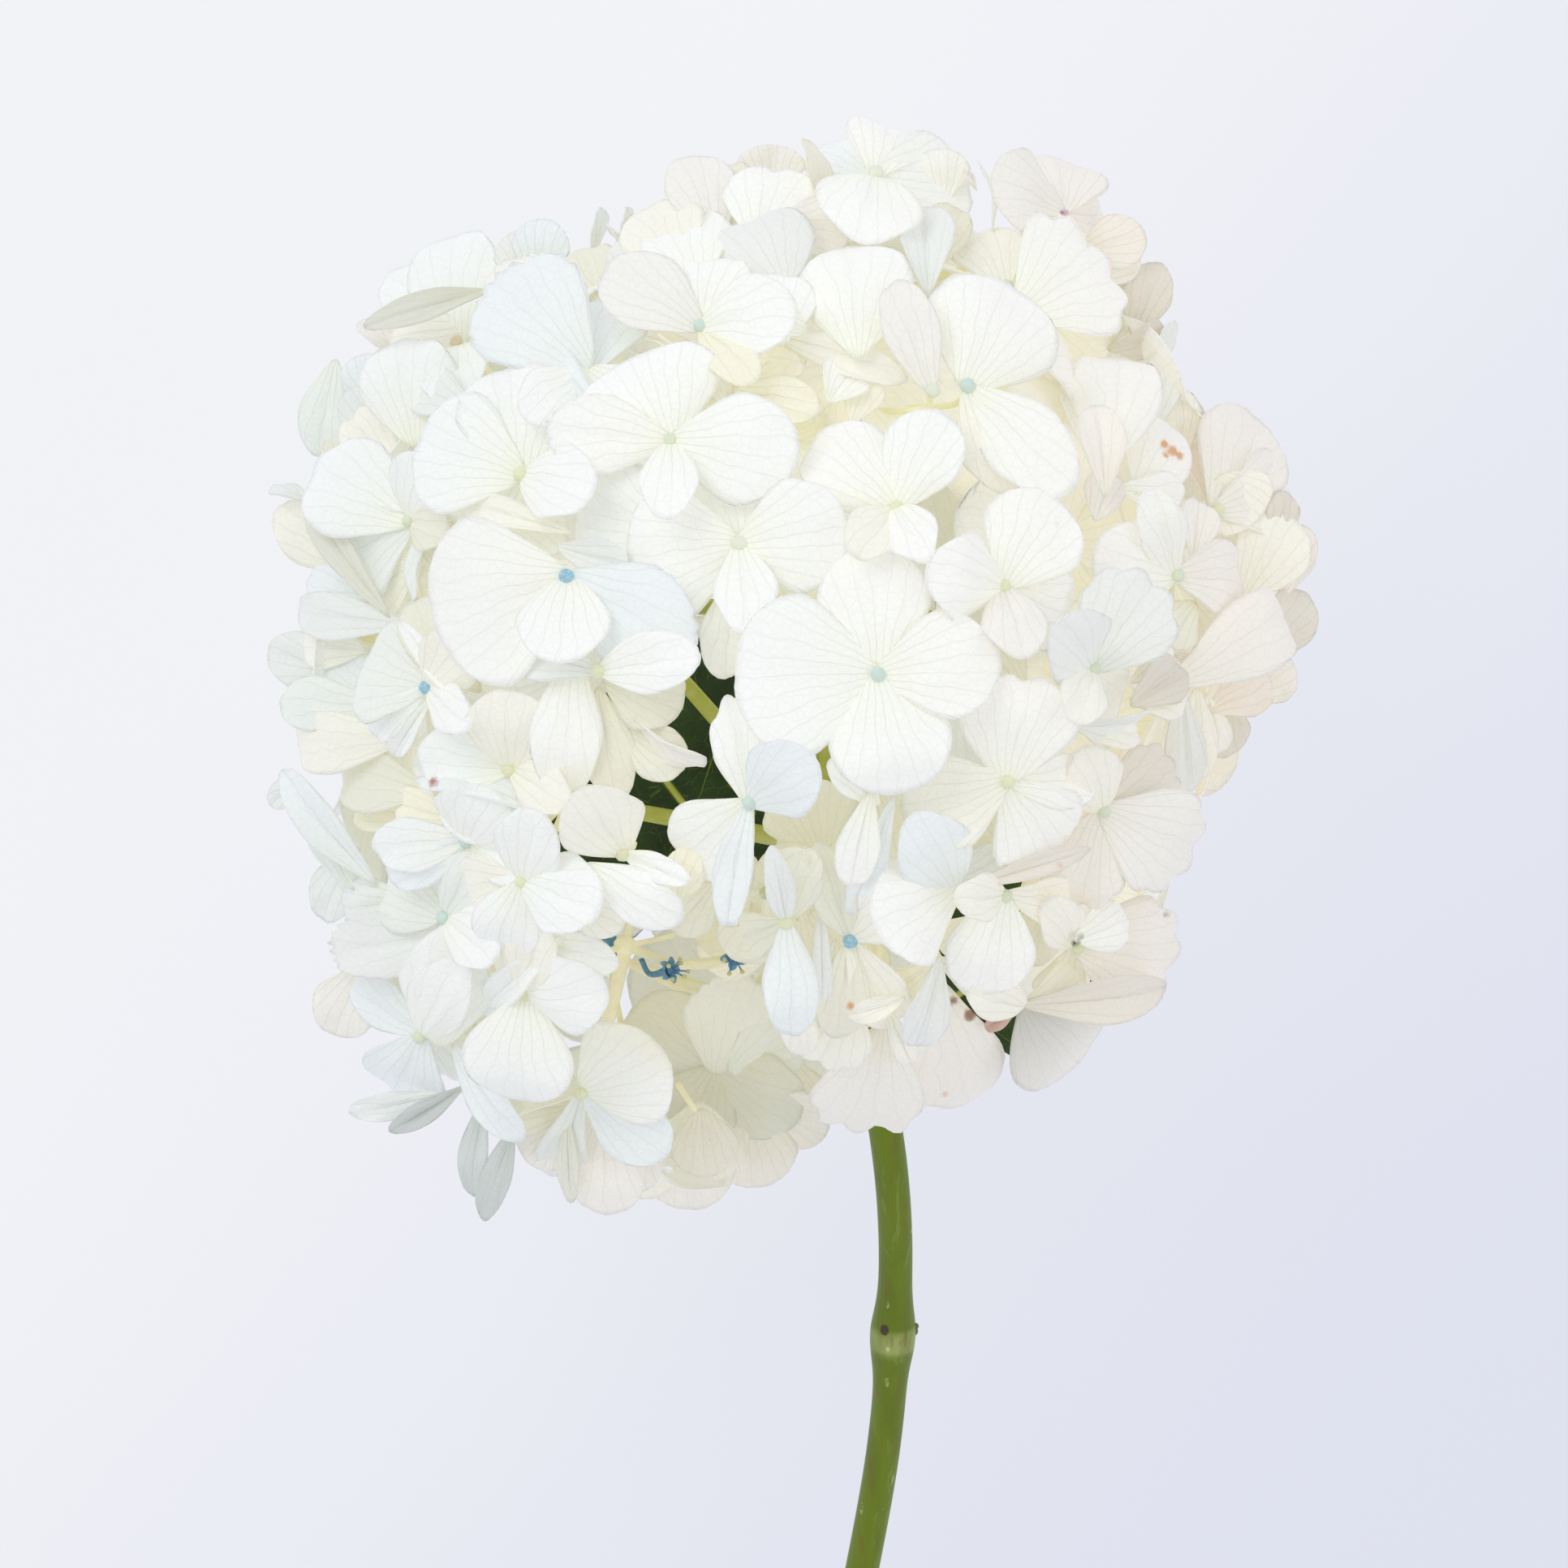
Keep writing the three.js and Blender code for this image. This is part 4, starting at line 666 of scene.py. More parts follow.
def seen_floret(column, row, level, bud, tips):
    """Floret that the photograph shows."""
    centre = place_on_form(column, row, level)
    normal = form_normal(centre, FACING_VIEWER)
    sepals = []
    for tip_column, tip_row, width, words, rise in tips:
        tip = tip_in_plane(tip_column, tip_row, centre, normal)
        tip = seen_at(tip_column, tip_row, tip.z + rise)
        sepals.append(sepal_row(tip, width * MM_PER_PIXEL, words, normal, centre))
    return floret_of(centre, normal, bud, sepals, SEEN_FINENESS)


def single_sepal(root, tip, width, words):
    """Sepal whose floret's middle is hidden."""
    normal = form_normal(mix(root, tip, 0.5), 0.5)
    sepals = [sepal_row(tip, width * MM_PER_PIXEL, words, normal, root)]
    return floret_of(root, normal, None, sepals, SEEN_FINENESS)


def even_floret(direction, depth, bud, shapes):
    """Floret that the photograph hides or half hides: four even sepals in the form's own plane."""
    centre = on_form(direction)
    normal = form_normal(centre, 0)
    if centre.z < PRESSED["below"]:
        share = max(centre.z, 0) / PRESSED["below"]
        normal = normal.lerp(Vector((0, 0, -1)), PRESSED["facing_down"] * (1 - share)).normalized()
        centre.z = mix(PRESSED["rest"], PRESSED["below"], share ** 2)
        depth = -abs(depth) / 2
    centre += normal * depth
    across = RULE_FLORET["turned_from"].cross(normal).normalized()
    up = normal.cross(across)
    first = luck.uniform(0, math.pi / 2)
    sepals = []
    for quarter in range(4):
        turn = first + quarter * math.pi / 2 + luck.uniform(*RULE_FLORET["turns"])
        length = luck.uniform(*RULE_SEPAL["length"])
        rise = luck.uniform(*RULE_FLORET["rises"])
        rise += length * RULE_FLORET["shingle"] * math.cos(turn - RULE_FLORET["high_side"])
        tip = centre + (across * math.cos(turn) + up * math.sin(turn)) * length + normal * rise
        width = luck.uniform(*RULE_SEPAL["width"])
        sepals.append(sepal_row(tip, width, luck.choice(shapes), normal, centre))
    return floret_of(centre, normal, bud, sepals, HIDDEN_FINENESS)


def near_opening(place, openings):
    """Whether a place would cover one of the openings of the photograph."""
    column, row = pixel_of(place)
    return any(math.hypot(column - middle_column, row - middle_row) < radius + OPENING_SPARE
               for middle_column, middle_row, radius in openings)


def inside_outline(place):
    """Whether a place lies inside the head's outline in the photograph."""
    column, row = pixel_of(place)
    inside = False
    for before, after in zip(HEAD_OUTLINE, HEAD_OUTLINE[1:] + HEAD_OUTLINE[:1]):
        if (before[1] > row) == (after[1] > row):
            continue
        share = (row - before[1]) / (after[1] - before[1])
        if column < mix(before[0], after[0], share):
            inside = not inside
    return inside


def floret_inside(direction, depth, bud, shapes):
    """Even floret, drawn in towards the middle until it keeps inside the outline. None if it never does."""
    for drawn_in in DRAWN_IN:
        floret = even_floret(direction, depth + drawn_in, bud, shapes)
        if all(inside_outline(sepal["tip"]) for sepal in floret["sepals"]):
            return floret
    return None


def hidden_florets(others):
    """Florets of the sides, the back and the underside, none where the stem enters."""
    found = []
    for index in range(HIDDEN["places"]):
        direction = spread_direction(index, HIDDEN["places"], HIDDEN["first_turn"])
        place = on_form(direction)
        place.z = max(place.z, PRESSED["rest"])
        taken = any((floret["centre"] - place).length < FLORET_SPACING for floret in others + found)
        beside_stem = abs(direction.x - STEM_OPENING["middle"])
        at_stem = direction.y < STEM_OPENING["below"] and beside_stem < STEM_OPENING["half"]
        seen_through = near_opening(place, SEEN_THROUGH)
        if taken or at_stem or seen_through or direction.z > HIDDEN["below_level"]:
            continue
        depth = HIDDEN["depths"][index % len(HIDDEN["depths"])]
        depth -= HIDDEN["behind_seen"] * smooth(-0.15, 0.2, direction.z)
        bud = luck.choice(["green", "yellow", "white", "sea"])
        floret = floret_inside(direction, depth, bud, ["plain", "plain", "saw", "dome", "cupped"])
        if floret:
            found.append(floret)
    return found


def lower_florets(others):
    """Florets under those in front, which show in the gaps between them."""
    found = []
    for index in range(LOWER_LAYER["places"]):
        direction = spread_direction(index, LOWER_LAYER["places"], LOWER_LAYER["first_turn"])
        if direction.z < LOWER_LAYER["above_level"]:
            continue
        place = on_form(direction)
        taken = any((floret["centre"] - place).length < LOWER_LAYER["spacing"] for floret in others)
        if taken or near_opening(place, OPEN_PLACES):
            continue
        depth = LOWER_LAYER["depth"] + luck.uniform(-2, 2)
        floret = floret_inside(direction, depth, "none", ["plain", "dome", "saw"])
        if floret:
            found.append(floret)
    return found


# Sepals

def sepal_colour(place, along, shape, mood):
    """White, with painted cool light on the left and warm light on the right, painted cream shade deep in
    the head, and a greener foot near the bud, partly painted shade.
    """
    # Painted cool light on the head's left side and painted warm light on its right
    colour = mix(PETAL_WHITE, LEFT_WHITE, COLOUR_SHARES["left"] * smooth(-5, -85, place.x))
    colour = mix(colour, RIGHT_WHITE, COLOUR_SHARES["right"] * smooth(10, 85, place.x))
    # Painted shade deep in the head, cream as from light that comes through the sepals
    colour = mix(colour, DEEP_SHADE_CREAM, COLOUR_SHARES["deep"] * smooth(1.0, 0.82, form_share(place)))
    # Greener foot of the sepal, partly its own colour and partly painted shade where the sepals meet
    colour = mix(colour, HEART_GREEN, COLOUR_SHARES["heart"] * (1 - along) ** 3)
    if shape["tint"]:
        colour = mix(colour, TINTS[shape["tint"]], COLOUR_SHARES["tint"] * (1 - shape["fade"] * along))
    return mix(colour, LEFT_WHITE if mood > 0 else RIGHT_WHITE, COLOUR_SHARES["mood"] * abs(mood))


def petal_glow(place):
    """Painted glow that stands in for light reaching a sepal through those around it, more of it deep in
    the head.
    """
    return mix(PETAL_GLOW["outside"], PETAL_GLOW["deep"], smooth(1.02, 0.78, form_share(place)))


def blade_spread(blade, x, y):
    """Where a grid point comes to lie, as shares of length and half width, and the size of its outline."""
    ahead = x * math.sqrt(1 - y * y / 2)
    beside = y * math.sqrt(1 - x * x / 2)
    far = (ahead + 1) / 2
    rim = smooth(0.6, 1, max(abs(x), abs(y)))
    tooth = 1 - abs(math.sin(math.atan2(beside, ahead) * blade["count"] / 2 + blade["seed"]))
    edge = 1 - blade["teeth"] * 2 * rim * tooth * smooth(0.25, 0.5, far)
    edge += OUTLINE_WOBBLE * noise.noise(Vector((ahead * 2, beside * 2, blade["seed"]))) * rim
    return far, beside, edge


def blade_height(blade, far, beside):
    """Height of a blade's face above its plane: arch and curl, cup, fold, sunken middle, waves and lift."""
    length, width = blade["length"], blade["width"]
    height = blade["arch"] * length * 4 * far * (1 - far)
    height += blade["curl"] * length * (smooth(0.55, 1, far) ** 2 - far)
    height += blade["cup"] * width * beside ** 2 * math.sin(math.pi * min(far * 1.15, 1) ** 0.8)
    height += blade["fold"] * width / 2 * abs(beside) * smooth(0, 0.4, far)
    height -= MIDDLE_VEIN_DEPTH * math.exp(-((beside / 0.1) ** 2)) * math.sin(math.pi * far)
    turn = far * blade["waves"] + blade["phase"] + (2 if beside > 0 else 0)
    height += blade["wave"] * width * math.sin(turn) * beside ** 2 * far
    rumpled = noise.noise(Vector((far * 2.4, beside * 1.6, blade["seed"])))
    height += RUMPLE_HEIGHT * rumpled * smooth(0, 0.4, far)
    return height + blade["lift"] * smooth(0, 0.25, far)


def add_sepal(mesh, layers, floret, sepal):
    """One broad sepal: a square grid drawn out to its outline, then arched, cupped and waved."""
    blade_layer, tint_layer = layers
    blade = dict(sepal["shape"])
    offset = sepal["tip"] - floret["centre"]
    along = offset.normalized()
    facing = floret["normal"]
    if floret["fineness"] == SEEN_FINENESS:
        facing = facing.lerp(Vector((0, 0, 1)), FLAT_TO_VIEWER)
    side = facing.cross(along).normalized()
    roll = blade["roll"] + luck.gauss(0, SEPAL_VARIES["roll"])
    side.rotate(Matrix.Rotation(math.radians(roll), 3, along))
    up = along.cross(side)
    blade.update(length=offset.length, width=sepal["width"], lift=sepal["lift"])
    blade["phase"] = luck.uniform(0, 6.3)
    blade["seed"] = luck.uniform(0, 90)
    mood = luck.gauss(0, SEPAL_VARIES["mood"])
    for form in ("cup", "arch", "curl"):
        blade[form] += luck.gauss(0, SEPAL_VARIES[form])
    blade["waves"] = luck.uniform(*SEPAL_WAVES)
    fineness = floret["fineness"]
    grid = bmesh.ops.create_grid(mesh, x_segments=fineness + 1, y_segments=fineness, size=1)
    for vert in grid["verts"]:
        far, beside, edge = blade_spread(blade, vert.co.x, vert.co.y)
        notch = blade["notch"] * smooth(0.7, 1, far) * math.exp(-((beside / 0.16) ** 2))
        distance = ((far * 1.03 - 0.03) * edge - notch) * blade["length"]
        narrow = mix(blade["foot"], 1, smooth(-0.05, 0.6, far))
        across = beside * narrow * edge * blade["width"] / 2 * 1.04
        height = blade_height(blade, far, beside)
        place = floret["centre"] + along * distance + side * across + up * height
        place.z = max(place.z, SEPAL_THICKNESS + 0.5 * abs(noise.noise(place * 0.15)))
        vert.co = place
        vert[blade_layer] = Vector((across / 10, distance / 10, blade["seed"]))
        # The tint's alpha carries the painted glow
        vert[tint_layer] = (*sepal_colour(place, far, blade, mood), petal_glow(place))


def nearest_branch(place):
    """Name of the branch whose end is nearest."""
    return min(BRANCHES, key=lambda name: (BRANCHES[name][0] - place).length)


def bend_of(floret):
    """Where a floret's stalk bends, a little under its middle."""
    return floret["centre"] - floret["normal"] * PEDICEL_DROP


# Finished pieces

def new_mesh():
    """Empty mesh with a place on the blade and a colour for each vertex."""
    mesh = bmesh.new()
    layers = (mesh.verts.layers.float_vector.new("blade"), mesh.verts.layers.float_color.new("tint"))
    return mesh, layers


def finish_piece(name, mesh, material, nodes):
    """Object in metres, riding on the flower, in place of the solids named."""
    bmesh.ops.scale(mesh, vec=(MM, MM, MM), verts=mesh.verts)
    data = bpy.data.meshes.new(name)
    mesh.to_mesh(data)
    mesh.free()
    data.materials.append(material)
    data.polygons.foreach_set("use_smooth", [True] * len(data.polygons))
    piece = bpy.data.objects.new(name, data)
    bpy.context.scene.collection.objects.link(piece)
    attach(piece, "root")
    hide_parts(*nodes)
    return piece


def give_wall(piece, thickness, offset):
    """Thickness for a blade. An offset of 0 spreads it to both sides, and -1 puts it behind the face."""
    wall = piece.modifiers.new("thickness", "SOLIDIFY")
    wall.thickness = thickness * MM
    wall.offset = offset


def add_ball(mesh, layers, middle, radius, fineness, colour):
    """Small ball in one colour."""
    for vert in bmesh.ops.create_icosphere(mesh, subdivisions=fineness, radius=radius)["verts"]:
        vert.co += middle
        vert[layers[1]] = (*colour, 1)


def sweep(mesh, layers, path, radii, sides, colour):
    """Stalk along a path, a round face extruded from point to point, in one colour or coloured by place."""
    tint_layer = layers[1]
    direction = (path[1] - path[0]).normalized()
    facing = Vector((0, 0, 1)).rotation_difference(direction)
    ring = bmesh.ops.create_circle(mesh, cap_ends=True, radius=radii[0], segments=sides,
                                   matrix=Matrix.LocRotScale(path[0], facing, None))["verts"]
    face = ring[0].link_faces[0]
    made = list(ring)
    for index in range(1, len(path)):
        extruded = bmesh.ops.extrude_face_region(mesh, geom=[face])["geom"]
        ring = [item for item in extruded if isinstance(item, bmesh.types.BMVert)]
        face = [item for item in extruded if isinstance(item, bmesh.types.BMFace)][0]
        after = path[min(index + 1, len(path) - 1)]
        new_direction = (after - path[index - 1]).normalized()
        turn = direction.rotation_difference(new_direction)
        size = radii[index] / radii[index - 1]
        for vert in ring:
            vert.co = path[index] + turn @ (vert.co - path[index - 1]) * size
        direction = new_direction
        made += ring
    for vert in made:
        vert[tint_layer] = (*(colour(vert.co) if callable(colour) else colour), 1)
    return made


def curved_path(points, steps):
    """Points spaced along a smooth curve through the given ones, bending as the solids' curve does."""
    ends = [points[0] * 2 - points[1], *points, points[-1] * 2 - points[-2]]
    path = []
    for first, second, third, fourth in zip(ends, ends[1:], ends[2:], ends[3:]):
        before = (second - first).length ** 0.5
        between = (third - second).length ** 0.5
        after = (fourth - third).length ** 0.5
        straight = (third - second) / between
        start = ((second - first) / before - (third - first) / (before + between) + straight) * between
        end = (straight - (fourth - second) / (between + after) + (fourth - third) / after) * between
        for step in range(steps):
            share = step / steps
            leaving = share * (1 - share) ** 2
            arriving = share ** 2 * (1 - share)
            eased = share ** 2 * (3 - 2 * share)
            path.append(mix(second, third, eased) + start * leaving - end * arriving)
    path.append(points[-1].copy())
    return path


# Materials

class Finish:
    """Material with one Principled shader, and the nodes that feed it."""

    def __init__(self, name, **sockets):
        self.material = bpy.data.materials.new(name)
        self.material.use_nodes = True
        self.tree = self.material.node_tree
        self.shader = self.tree.nodes["Principled BSDF"]
        for socket, value in sockets.items():
            self.set(self.shader, socket.replace("_", " "), value)

    def set(self, node, socket, value):
        """Give a socket a value, or link it to another node's output."""
        target = node.inputs[socket]
        if isinstance(value, bpy.types.NodeSocket):
            self.tree.links.new(value, target)
        elif isinstance(value, tuple) and len(value) == 3 and len(target.default_value) == 4:
            target.default_value = (*value, 1)
        else:
            target.default_value = value

    def add(self, kind, inputs, output=0, **settings):
        """New node with its settings and inputs. Gives back one of its outputs."""
        node = self.tree.nodes.new(kind)
        for setting, value in settings.items():
            setattr(node, setting, value)
        for socket, value in inputs.items():
            self.set(node, socket, value)
        return node.outputs[output]

    def attribute(self, name, output):
        return self.add("ShaderNodeAttribute", {}, output, attribute_name=name, attribute_type="GEOMETRY")

    def math(self, operation, one, other=0.0, third=0.0):
        return self.add("ShaderNodeMath", {0: one, 1: other, 2: third}, operation=operation)

    def object_place(self):
        return self.add("ShaderNodeTexCoord", {}, "Object")

    def noise(self, place, scale, detail=2.0, roughness=0.5):
        return self.add("ShaderNodeTexNoise", {"Vector": place, "Scale": scale, "Detail": detail,
                                               "Roughness": roughness}, "Fac")

    def band(self, value, low, high, start=0.0, end=1.0):
        """Soft step of a value from one number to another."""
        return self.add("ShaderNodeMapRange", {"Value": value, "From Min": low, "From Max": high,
                                               "To Min": start, "To Max": end},
                        interpolation_type="SMOOTHSTEP")

    def blend(self, share, one, other, way="MIX"):
        return self.add("ShaderNodeMix", {0: share, 6: one, 7: other}, 2, data_type="RGBA", blend_type=way)

    def colour(self, value):
        self.set(self.shader, "Base Color", value)

    def parts(self, vector):
        """The three numbers of a vector."""
        node = self.tree.nodes.new("ShaderNodeSeparateXYZ")
        self.set(node, 0, vector)
        return node.outputs

    def net(self, place, scale, width):
        """Thin lines between cells."""
        edges = self.add("ShaderNodeTexVoronoi", {"Vector": place, "Scale": scale}, "Distance",
                         feature="DISTANCE_TO_EDGE")
        return self.band(edges, 0.0, width, 1.0, 0.0)

    def marks(self, under, marks, squash, ragged, soft_edge, strength):
        """Small ragged spots over a colour. Each has a place in mm, a radius in pixels and a colour."""
        place = self.object_place()
        wobble = self.math("MULTIPLY", self.noise(place, ragged["scale"]), ragged["size"])
        flat = self.add("ShaderNodeVectorMath", {0: place, 1: squash}, operation="MULTIPLY")
        for spot, radius, colour in marks:
            middle = tuple(part * share * MM for part, share in zip(spot, squash))
            distance = self.add("ShaderNodeVectorMath", {0: flat, 1: middle}, "Value", operation="DISTANCE")
            size = radius * MM_PER_PIXEL * MM
            share = self.band(self.math("ADD", distance, wobble), size, size + soft_edge, strength, 0.0)
            under = self.blend(share, under, colour)
        return under

    def glow(self, colour, strength):
        """Light of the piece's own. It is too weak to light the others, so it isn't sampled as a lamp."""
        self.set(self.shader, "Emission Color", colour)
        self.set(self.shader, "Emission Strength", strength)
        self.material.cycles.emission_sampling = "NONE"

    def relief(self, height, depth, strength=1.0):
        """Bump of a real depth in metres."""
        self.set(self.shader, "Normal",
                 self.add("ShaderNodeBump", {"Height": height, "Distance": depth, "Strength": strength}))


# Marks on the sepals: column, row and radius in pixels, and colour. The two black ones are painted shade,
# where the dark inside of the head shows between sepals
MARKS = [
    (1434, 548, 5, "orange"), (1444, 556, 6, "orange"), (1452, 562, 5, "orange"), (1436, 561, 4, "orange"),
    (1175, 1234, 5, "brown"), (1196, 1251, 7, "brown"), (1163, 1241, 3, "orange"),
    (1303, 1065, 5, "orange"), (1434, 1126, 5, "brown"), (537, 965, 7, "red"),
    (1165, 1351, 4, "orange"), (1048, 1239, 4, "orange"), (1300, 650, 5, "orange"),
    (1330, 1153, 4, "black"), (1326, 1162, 4, "black"),
    (1312, 262, 4, "rose"), (1308, 262, 1, "wine"),
]
MARK_COLOURS = {"orange": shade(220, 160, 96), "brown": shade(140, 92, 58), "red": shade(170, 84, 58),
                "black": shade(44, 34, 28), "rose": shade(206, 166, 190), "wine": shade(96, 30, 74)}
# Height at which the form under a mark is looked up
MARK_HEIGHT = 130
# How far a mark's distance counts along x, y and z, so that it lies on a sepal at whatever height it has
MARK_SQUASH = (1, 1, 0.12)
VEIN_GREY = shade(222, 224, 214)
BUD_SPECKLE = shade(240, 244, 236)
RAY_STREAK = shade(205, 194, 140)
# Painted glow of the rays and stalks, for light that passes through the sepals round them
RAY_GLOW = 0.28
BARK_OLIVE = shade(98, 112, 16)
BARK_BROWN = shade(126, 96, 40)
BARK_PALE = shade(138, 160, 74)
BARK_SPECK = shade(186, 194, 110)
LEAF_DARK = shade(20, 44, 12)
LEAF_LIGHT = shade(40, 74, 22)
LEAF_VEIN = shade(134, 158, 78)
FERTILE_CLOUD = shade(150, 190, 214)

# The leaf joint that the photograph shows. Its marks are the scar of a leaf, the scar's paler middle and a
# pale spot: column and row, radius in pixels, and colour
SEEN_JOINT_HEIGHT = 46
SEEN_JOINT = seen_at(1100, 1645, SEEN_JOINT_HEIGHT)
STEM_MARKS = [
    (1090, 1638, 5.5, shade(70, 46, 34)),
    (1092, 1639, 1.5, shade(150, 110, 92)),
    (1094, 1662, 2, shade(205, 218, 160)),
]
STEM_MARK_SQUASH = (1, 0.75, 0.3)


def mark_place(column, row):
    """Place of a mark, near enough on the head's form."""
    below = seen_at(column, row, MARK_HEIGHT)
    return seen_at(column, row, form_height(below.x, below.y))


def petal_finish():
    """Soft matt white petal with fine veins fanning out from its foot."""
    made = Finish("sepal_white", Roughness=0.6, Specular_IOR_Level=0.2)
    tint = made.attribute("tint", "Color")
    blade = made.attribute("blade", "Vector")
    across, along, seed = made.parts(blade)
    loose = made.math("MULTIPLY_ADD", made.noise(blade, 1.6), 0.9, seed)
    turn = made.math("ARCTAN2", across, made.math("ADD", along, 0.35))
    fan = made.math("PINGPONG", made.math("MULTIPLY_ADD", turn, 6.5, loose), 0.5)
    fan = made.band(fan, 0.0, 0.07, 1.0, 0.0)
    net = made.math("MULTIPLY", made.net(blade, 5.5, 0.08), 0.45)
    veins = made.math("MAXIMUM", made.math("MULTIPLY", fan, 0.8), net)
    pale = made.blend(made.math("MULTIPLY", veins, 0.16), tint, VEIN_GREY)
    spots = [(mark_place(column, row), radius, MARK_COLOURS[kind]) for column, row, radius, kind in MARKS]
    pale = made.marks(pale, spots, MARK_SQUASH, {"scale": 900, "size": 0.0008}, 0.0009, 0.85)
    made.colour(pale)
    # Painted glow: the tint's alpha gives the share of the sepal's colour that it gives off
    made.glow(made.blend(made.attribute("tint", "Alpha"), (0.0, 0.0, 0.0), pale), 1.0)
    fine = made.math("MULTIPLY", made.noise(blade, 14, 3), 0.35)
    made.relief(made.math("SUBTRACT", fine, veins), 0.00012, 0.7)
    return made.material


def bud_finish():
    """Small waxy bud."""
    made = Finish("bud", Roughness=0.4, Subsurface_Weight=0.2, Subsurface_Radius=(1.0, 1.0, 1.0),
                  Subsurface_Scale=0.001)
    speckle = made.noise(made.object_place(), 2500)
    share = made.band(speckle, 0.45, 0.75, 0.0, 0.35)
    made.colour(made.blend(share, made.attribute("tint", "Color"), BUD_SPECKLE))
    made.relief(speckle, 0.0001)
    return made.material


def branch_finish():
    """Pale green-cream skin of the rays and the florets' stalks, with a painted glow."""
    made = Finish("branch", Roughness=0.5, Subsurface_Weight=0.15, Subsurface_Radius=(1.0, 1.0, 0.6),
                  Subsurface_Scale=0.001)
    streak = made.noise(made.object_place(), 380, 3)
    share = made.band(streak, 0.35, 0.75, 0.0, 0.3)
    skin = made.blend(share, made.attribute("tint", "Color"), RAY_STREAK)
    made.colour(skin)
    made.glow(skin, RAY_GLOW)
    made.relief(streak, 0.00025)
    return made.material


def stem_finish():
    """Smooth green bark, paler on one side, with purple-brown streaks and pale specks."""
    made = Finish("stem_green", Roughness=0.45, Specular_IOR_Level=0.3)
    place = made.object_place()
    drawn_out = made.add("ShaderNodeMapping", {"Vector": place, "Scale": (1, 0.06, 1)})
    streak = made.noise(drawn_out, 700, 3)
    broad = made.noise(drawn_out, 260, 2)
    tint = made.attribute("tint", "Color")
    green = made.blend(made.band(broad, 0.35, 0.7, 0.0, 0.55), tint, BARK_OLIVE)
    green = made.blend(made.band(streak, 0.56, 0.74, 0.0, 0.5), green, BARK_BROWN)
    green = made.blend(made.band(streak, 0.42, 0.3, 0.0, 0.4), green, BARK_PALE)
    specks = made.add("ShaderNodeMapping", {"Vector": place, "Scale": (1, 0.34, 1)})
    speck = made.add("ShaderNodeTexVoronoi", {"Vector": specks, "Scale": 330}, "Distance")
    chance = made.band(made.noise(place, 420), 0.53, 0.6)
    speck = made.math("MULTIPLY", made.band(speck, 0.1, 0.22, 1.0, 0.0), chance)
    green = made.blend(made.math("MULTIPLY", speck, 0.7), green, BARK_SPECK)
    top = SEEN_JOINT_HEIGHT + STEM_RADIUS
    spots = [(seen_at(column, row, top), radius, colour) for column, row, radius, colour in STEM_MARKS]
    green = made.marks(green, spots, STEM_MARK_SQUASH, {"scale": 1500, "size": 0.0003}, 0.0004, 0.9)
    made.colour(green)
    made.relief(made.math("ADD", made.math("MULTIPLY", streak, 0.5), speck), 0.00025)
    return made.material


def leaf_finish():
    """Dark green leaf with a dull gloss and pale veins."""
    made = Finish("leaf_green", Roughness=0.45, Specular_IOR_Level=0.45)
    blade = made.attribute("blade", "Vector")
    across, along, _ = made.parts(blade)
    out = made.math("ABSOLUTE", across)
    rib = made.band(out, 0.05, 0.11, 1.0, 0.0)
    loose = made.math("MULTIPLY_ADD", made.noise(blade, 0.9), 0.25, along)
    slant = made.math("MULTIPLY_ADD", out, -0.62, loose)
    side_vein = made.math("PINGPONG", made.math("MULTIPLY", slant, 0.85), 0.5)
    side_vein = made.band(side_vein, 0.0, 0.035, 1.0, 0.0)
    net = made.math("MULTIPLY", made.net(blade, 4.2, 0.05), 0.35)
    veins = made.math("MAXIMUM", made.math("MAXIMUM", rib, side_vein), net)
    green = made.blend(made.band(made.noise(blade, 1.1), 0.3, 0.7), LEAF_DARK, LEAF_LIGHT)
    made.colour(made.blend(made.math("MULTIPLY", veins, 0.75), green, LEAF_VEIN))
    fine = made.math("MULTIPLY", made.noise(blade, 6), 0.4)
    made.relief(made.math("SUBTRACT", fine, veins), 0.0004)
    return made.material


def fertile_finish():
    """Blue petals and stamens with cream anthers, coloured by vertex."""
    made = Finish("fertile_blue", Roughness=0.45, Subsurface_Weight=0.15, Subsurface_Radius=(1.0, 1.0, 1.0),
                  Subsurface_Scale=0.0008)
    cloudy = made.noise(made.object_place(), 1300)
    share = made.band(cloudy, 0.4, 0.7, 0.0, 0.4)
    made.colour(made.blend(share, made.attribute("tint", "Color"), FERTILE_CLOUD))
    made.relief(cloudy, 0.0002)
    return made.material


# Flower head

florets = [seen_floret(*row) for row in SEEN_FLORETS]
seen_count = len(florets)
florets += hidden_florets(florets)
florets += lower_florets(florets[:seen_count])

singles = []
for root_column, root_row, column, row, width, root_level, level, words in SEEN_SEPALS:
    root = place_on_form(root_column, root_row, root_level)
    singles.append(single_sepal(root, place_on_form(column, row, level), width, words))
for root_column, root_row, column, row, width, root_height, height, words in FAR_SEPALS:
    root = seen_at(root_column, root_row, root_height)
    singles.append(single_sepal(root, seen_at(column, row, height), width, words))

petal_white = petal_finish()
sprays = {}
for floret in florets + singles:
    sprays.setdefault(nearest_branch(bend_of(floret)), []).append(floret)

for branch_name, members in sprays.items():
    mesh, layers = new_mesh()
    for floret in members:
        for sepal in floret["sepals"]:
            add_sepal(mesh, layers, floret, sepal)
    spray = finish_piece(f"sepals_{branch_name}", mesh, petal_white, ["flower_head"])
    give_wall(spray, SEPAL_THICKNESS, 0)


# Buds in the florets' middles: radius, height as a share of the width, how far they stand up, and how deep
# their seams are as a share of the radius
BUD = {"radius": (1.15, 1.45), "flatness": 0.86, "rise": 1.1, "seam": 0.13}


